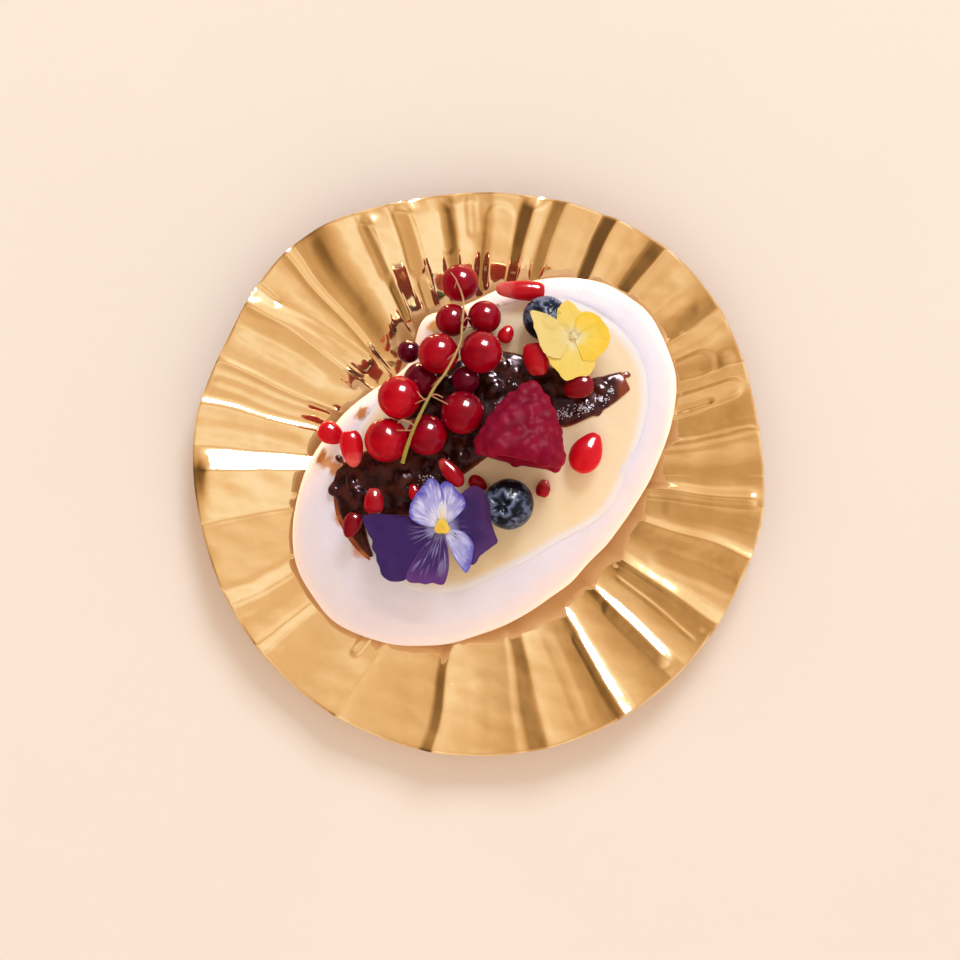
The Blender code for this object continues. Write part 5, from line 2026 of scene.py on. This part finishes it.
BUTTERCUP = Flower(
    name="yellow_bloom",
    node="yellow_flower",
    slot="yellow_petal",
    middle=(25.4, 37.3),
    level=33.3,
    lean=-0.26,
    seed=400,
    heart=YELLOW_HEART,
    heart_size=(0.9, 0.5),
    petals=(
        Petal(((58, 5), (70, 6.6), (80, 7.4), (97, 9.6), (107, 9.3), (117, 8.6), (128, 7.4), (138, 6)), 0.0, YELLOW_MIDDLE, 0.15),
        Petal(((-5, 7), (8, 9.2), (20, 9.2), (30, 9.0), (42, 8.6), (55, 8.0), (68, 7.0), (80, 5)), 0.25, YELLOW_DEEP, 0.15),
        Petal(
            ((196, 8), (216, 8.9), (233, 9.9), (247, 10.6), (262, 12.2), (275, 11), (293, 11.1), (308, 9.6), (326, 7.5)),
            0.1,
            YELLOW_MIDDLE,
            0.2,
        ),
        Petal(((292, 7), (310, 8.4), (325, 8.8), (340, 9.6), (352, 10), (368, 9.8), (380, 9.2), (392, 7.5)), 0.45, YELLOW_DEEP, 0.15),
        Petal(((134, 5), (141, 9), (150.7, 13.2), (160, 11.6), (180, 9.8), (200, 9.3), (218, 8.8), (240, 7)), 0.6, YELLOW_PALE, 0.1),
    ),
)


# ---------------------------------------------------------------- studio


@dataclass(frozen=True)
class Floor(Finish):
    """Plain pale paper."""

    name = "pale_floor"
    colour: Colour = (0.86, 0.695, 0.578)

    def paint(self, paint: Paint) -> None:
        """Fills the material's nodes."""
        cloud = paint.effect(MOTTLE, Place=paint.millimetres(), Scale=0.01, Low=0.3, High=0.7)
        darker = tuple(value * 0.985 for value in self.colour)
        paint.skin(Base_Color=paint.mix(cloud, self.colour, darker), Roughness=1.0, Specular_IOR_Level=0.0)


@dataclass(frozen=True)
class Studio:
    """A plain pale floor under soft light from all round, with one soft lamp behind.

    Matt surfaces are lit evenly. Bright ones mirror a room that is light on the right and behind, dark
    and warm on the left, and paler straight above.
    """

    camera_place: Place = (0.00028, -0.00139, 0.643)
    lens: float = 85.0
    lamp_far: float = 4.0
    lamp_light: Colour = (0.28, 0.36, 0.455)
    fill: Colour = (0.89, 0.82, 0.725)
    floor_size: float = 12.0
    backdrop: Colour = (0.98, 0.82, 0.70)
    east_west: tuple[tuple[float, float], ...] = (
        (0.05, 0.05),
        (0.14, 0.13),
        (0.23, 0.34),
        (0.33, 0.54),
        (0.43, 0.63),
        (0.49, 0.67),
        (0.56, 0.71),
        (0.70, 0.79),
        (0.90, 0.90),
    )
    south_north: tuple[tuple[float, float], ...] = (
        (0.05, 0.0),
        (0.22, 0.04),
        (0.30, 0.10),
        (0.37, 0.22),
        (0.44, 0.13),
        (0.50, 0.02),
        (0.60, 0.04),
        (0.70, 0.18),
        (0.78, 0.28),
        (0.95, 0.15),
    )
    room_tones: tuple[tuple[float, Colour], ...] = (
        (0.0, (0.02, 0.010, 0.005)),
        (0.2, (0.16, 0.095, 0.040)),
        (0.3, (0.27, 0.165, 0.075)),
        (0.46, (0.44, 0.31, 0.19)),
        (0.55, (0.54, 0.385, 0.24)),
        (0.63, (0.63, 0.47, 0.33)),
        (0.70, (0.70, 0.55, 0.43)),
        (0.80, (0.82, 0.69, 0.59)),
        (0.88, (0.92, 0.83, 0.80)),
        (0.96, (1.0, 1.02, 1.12)),
        (1.10, (1.1, 1.25, 1.6)),
        (1.30, (1.2, 1.5, 2.1)),
    )
    fill_right: float = 0.03
    fill_front: float = 0.60

    def make_world(self) -> None:
        """Even light for matt surfaces, and a room for bright ones to mirror."""
        world = bpy.data.worlds.new("studio")
        world.use_nodes = True
        bpy.context.scene.world = world
        canvas = Canvas(world.node_tree)
        split = canvas.node("SeparateXYZ", Vector=canvas.node("TexCoord").outputs["Generated"])
        sides = [canvas.calc("MULTIPLY_ADD", split.outputs[axis], 0.5) for axis in (0, 1)]
        for side in sides:
            canvas.fill(side.node.inputs[2], 0.5)
        parts = [
            canvas.ramp(side, *((at, (value,) * 3) for at, value in steps))
            for side, steps in zip(sides, (self.east_west, self.south_north))
        ]
        brightness = canvas.calc("MULTIPLY", canvas.calc("ADD", *parts), 1 / 1.3)
        brightest = 2.1
        tones = ((at / 1.3, tuple(value / brightest for value in tone)) for at, tone in self.room_tones)
        room = canvas.vector("SCALE", canvas.ramp(brightness, *tones), brightest)
        ray = canvas.node("LightPath").outputs
        lean = canvas.calc("MULTIPLY_ADD", split.outputs[0], self.fill_right)
        canvas.fill(lean.node.inputs[2], 1.0)
        lean = canvas.calc("ADD", lean, canvas.calc("MULTIPLY", split.outputs[1], -self.fill_front))
        light = canvas.mix(ray["Is Glossy Ray"], canvas.vector("SCALE", self.fill, lean), room)
        background = world.node_tree.nodes["Background"]
        canvas.fill(background.inputs["Color"], canvas.mix(ray["Is Camera Ray"], light, self.backdrop))

    def make_lamp(self, name: str, tilt: float, side: float, size: float, glow: Colour, glossy: bool) -> None:
        """One square lamp behind the plate, a little to the right.

        Args:
            name: The lamp's name.
            tilt: Its angle from straight above, in degrees.
            side: Its angle to the right of straight behind, in degrees.
            size: The length of its side, in metres.
            glow: How bright it makes a white floor, or its own brightness where it only glints.
            glossy: Whether it is seen in bright surfaces alone, or lights matt ones alone.
        """
        lean, heading = math.radians(tilt), math.radians(90 - side)
        towards = Vector((math.cos(heading) * math.sin(lean), math.sin(heading) * math.sin(lean), math.cos(lean)))
        light = bpy.data.lights.new(name, "AREA")
        light.shape = "SQUARE"
        light.size = size
        light.cycles.max_bounces = 1
        strongest = max(glow)
        if glossy:
            light.energy = strongest * math.pi * size**2
        else:
            light.energy = strongest * math.pi**2 * self.lamp_far**2 / math.cos(lean)
        light.color = [value / strongest for value in glow]
        lamp = bpy.data.objects.new(name, light)
        lamp.matrix_world = Matrix.Translation(towards * self.lamp_far) @ aim(towards)
        lamp.visible_glossy = glossy
        lamp.visible_diffuse = not glossy
        bpy.context.scene.collection.objects.link(lamp)

    def make_floor(self) -> None:
        """The floor under the plate's foot."""
        floor = add(bpy.ops.mesh.primitive_plane_add, size=self.floor_size)
        floor.name = "pale_floor"
        dress(floor, Floor().material())

    def make_camera(self) -> None:
        """The camera, straight above the plate."""
        lens = bpy.data.cameras.new("overhead")
        lens.lens = self.lens
        lens.clip_start = 0.01
        camera = bpy.data.objects.new("overhead", lens)
        camera.location = self.camera_place
        bpy.context.scene.collection.objects.link(camera)
        bpy.context.scene.camera = camera

    def build(self) -> None:
        """Sets it all up."""
        self.make_world()
        self.make_lamp("soft_lamp", 51.0, 18.0, 1.5, self.lamp_light, False)
        self.make_lamp("lamp_glints", 52.0, 22.0, 1.6, (190.0,) * 3, True)
        self.make_floor()
        self.make_camera()
        bpy.context.scene.view_settings.view_transform = "Standard"


def main() -> None:
    """Builds the studio and then the part, piece by piece."""
    logging.basicConfig(level=logging.INFO, format="%(name)s: %(message)s")
    Studio().build()
    dessert = Dessert()
    Plate().build()
    shell, cream = dessert.build_meringue(), dessert.build_cream()
    compote = Compote().build(Ground([shell, cream]))
    Bunch().build()
    Seeds().build()
    raspberry = Raspberry().build()
    skin = BlueberrySkin().material()
    berries = [Blueberry("blueberry_1", 175, 22, 1).build(skin), Blueberry("blueberry_2", 60, 40, 2).build(skin)]
    ground = Ground([compote[0], raspberry, *berries])
    VIOLA.build(ground)
    BUTTERCUP.build(ground)


if __name__ == "__main__":
    main()
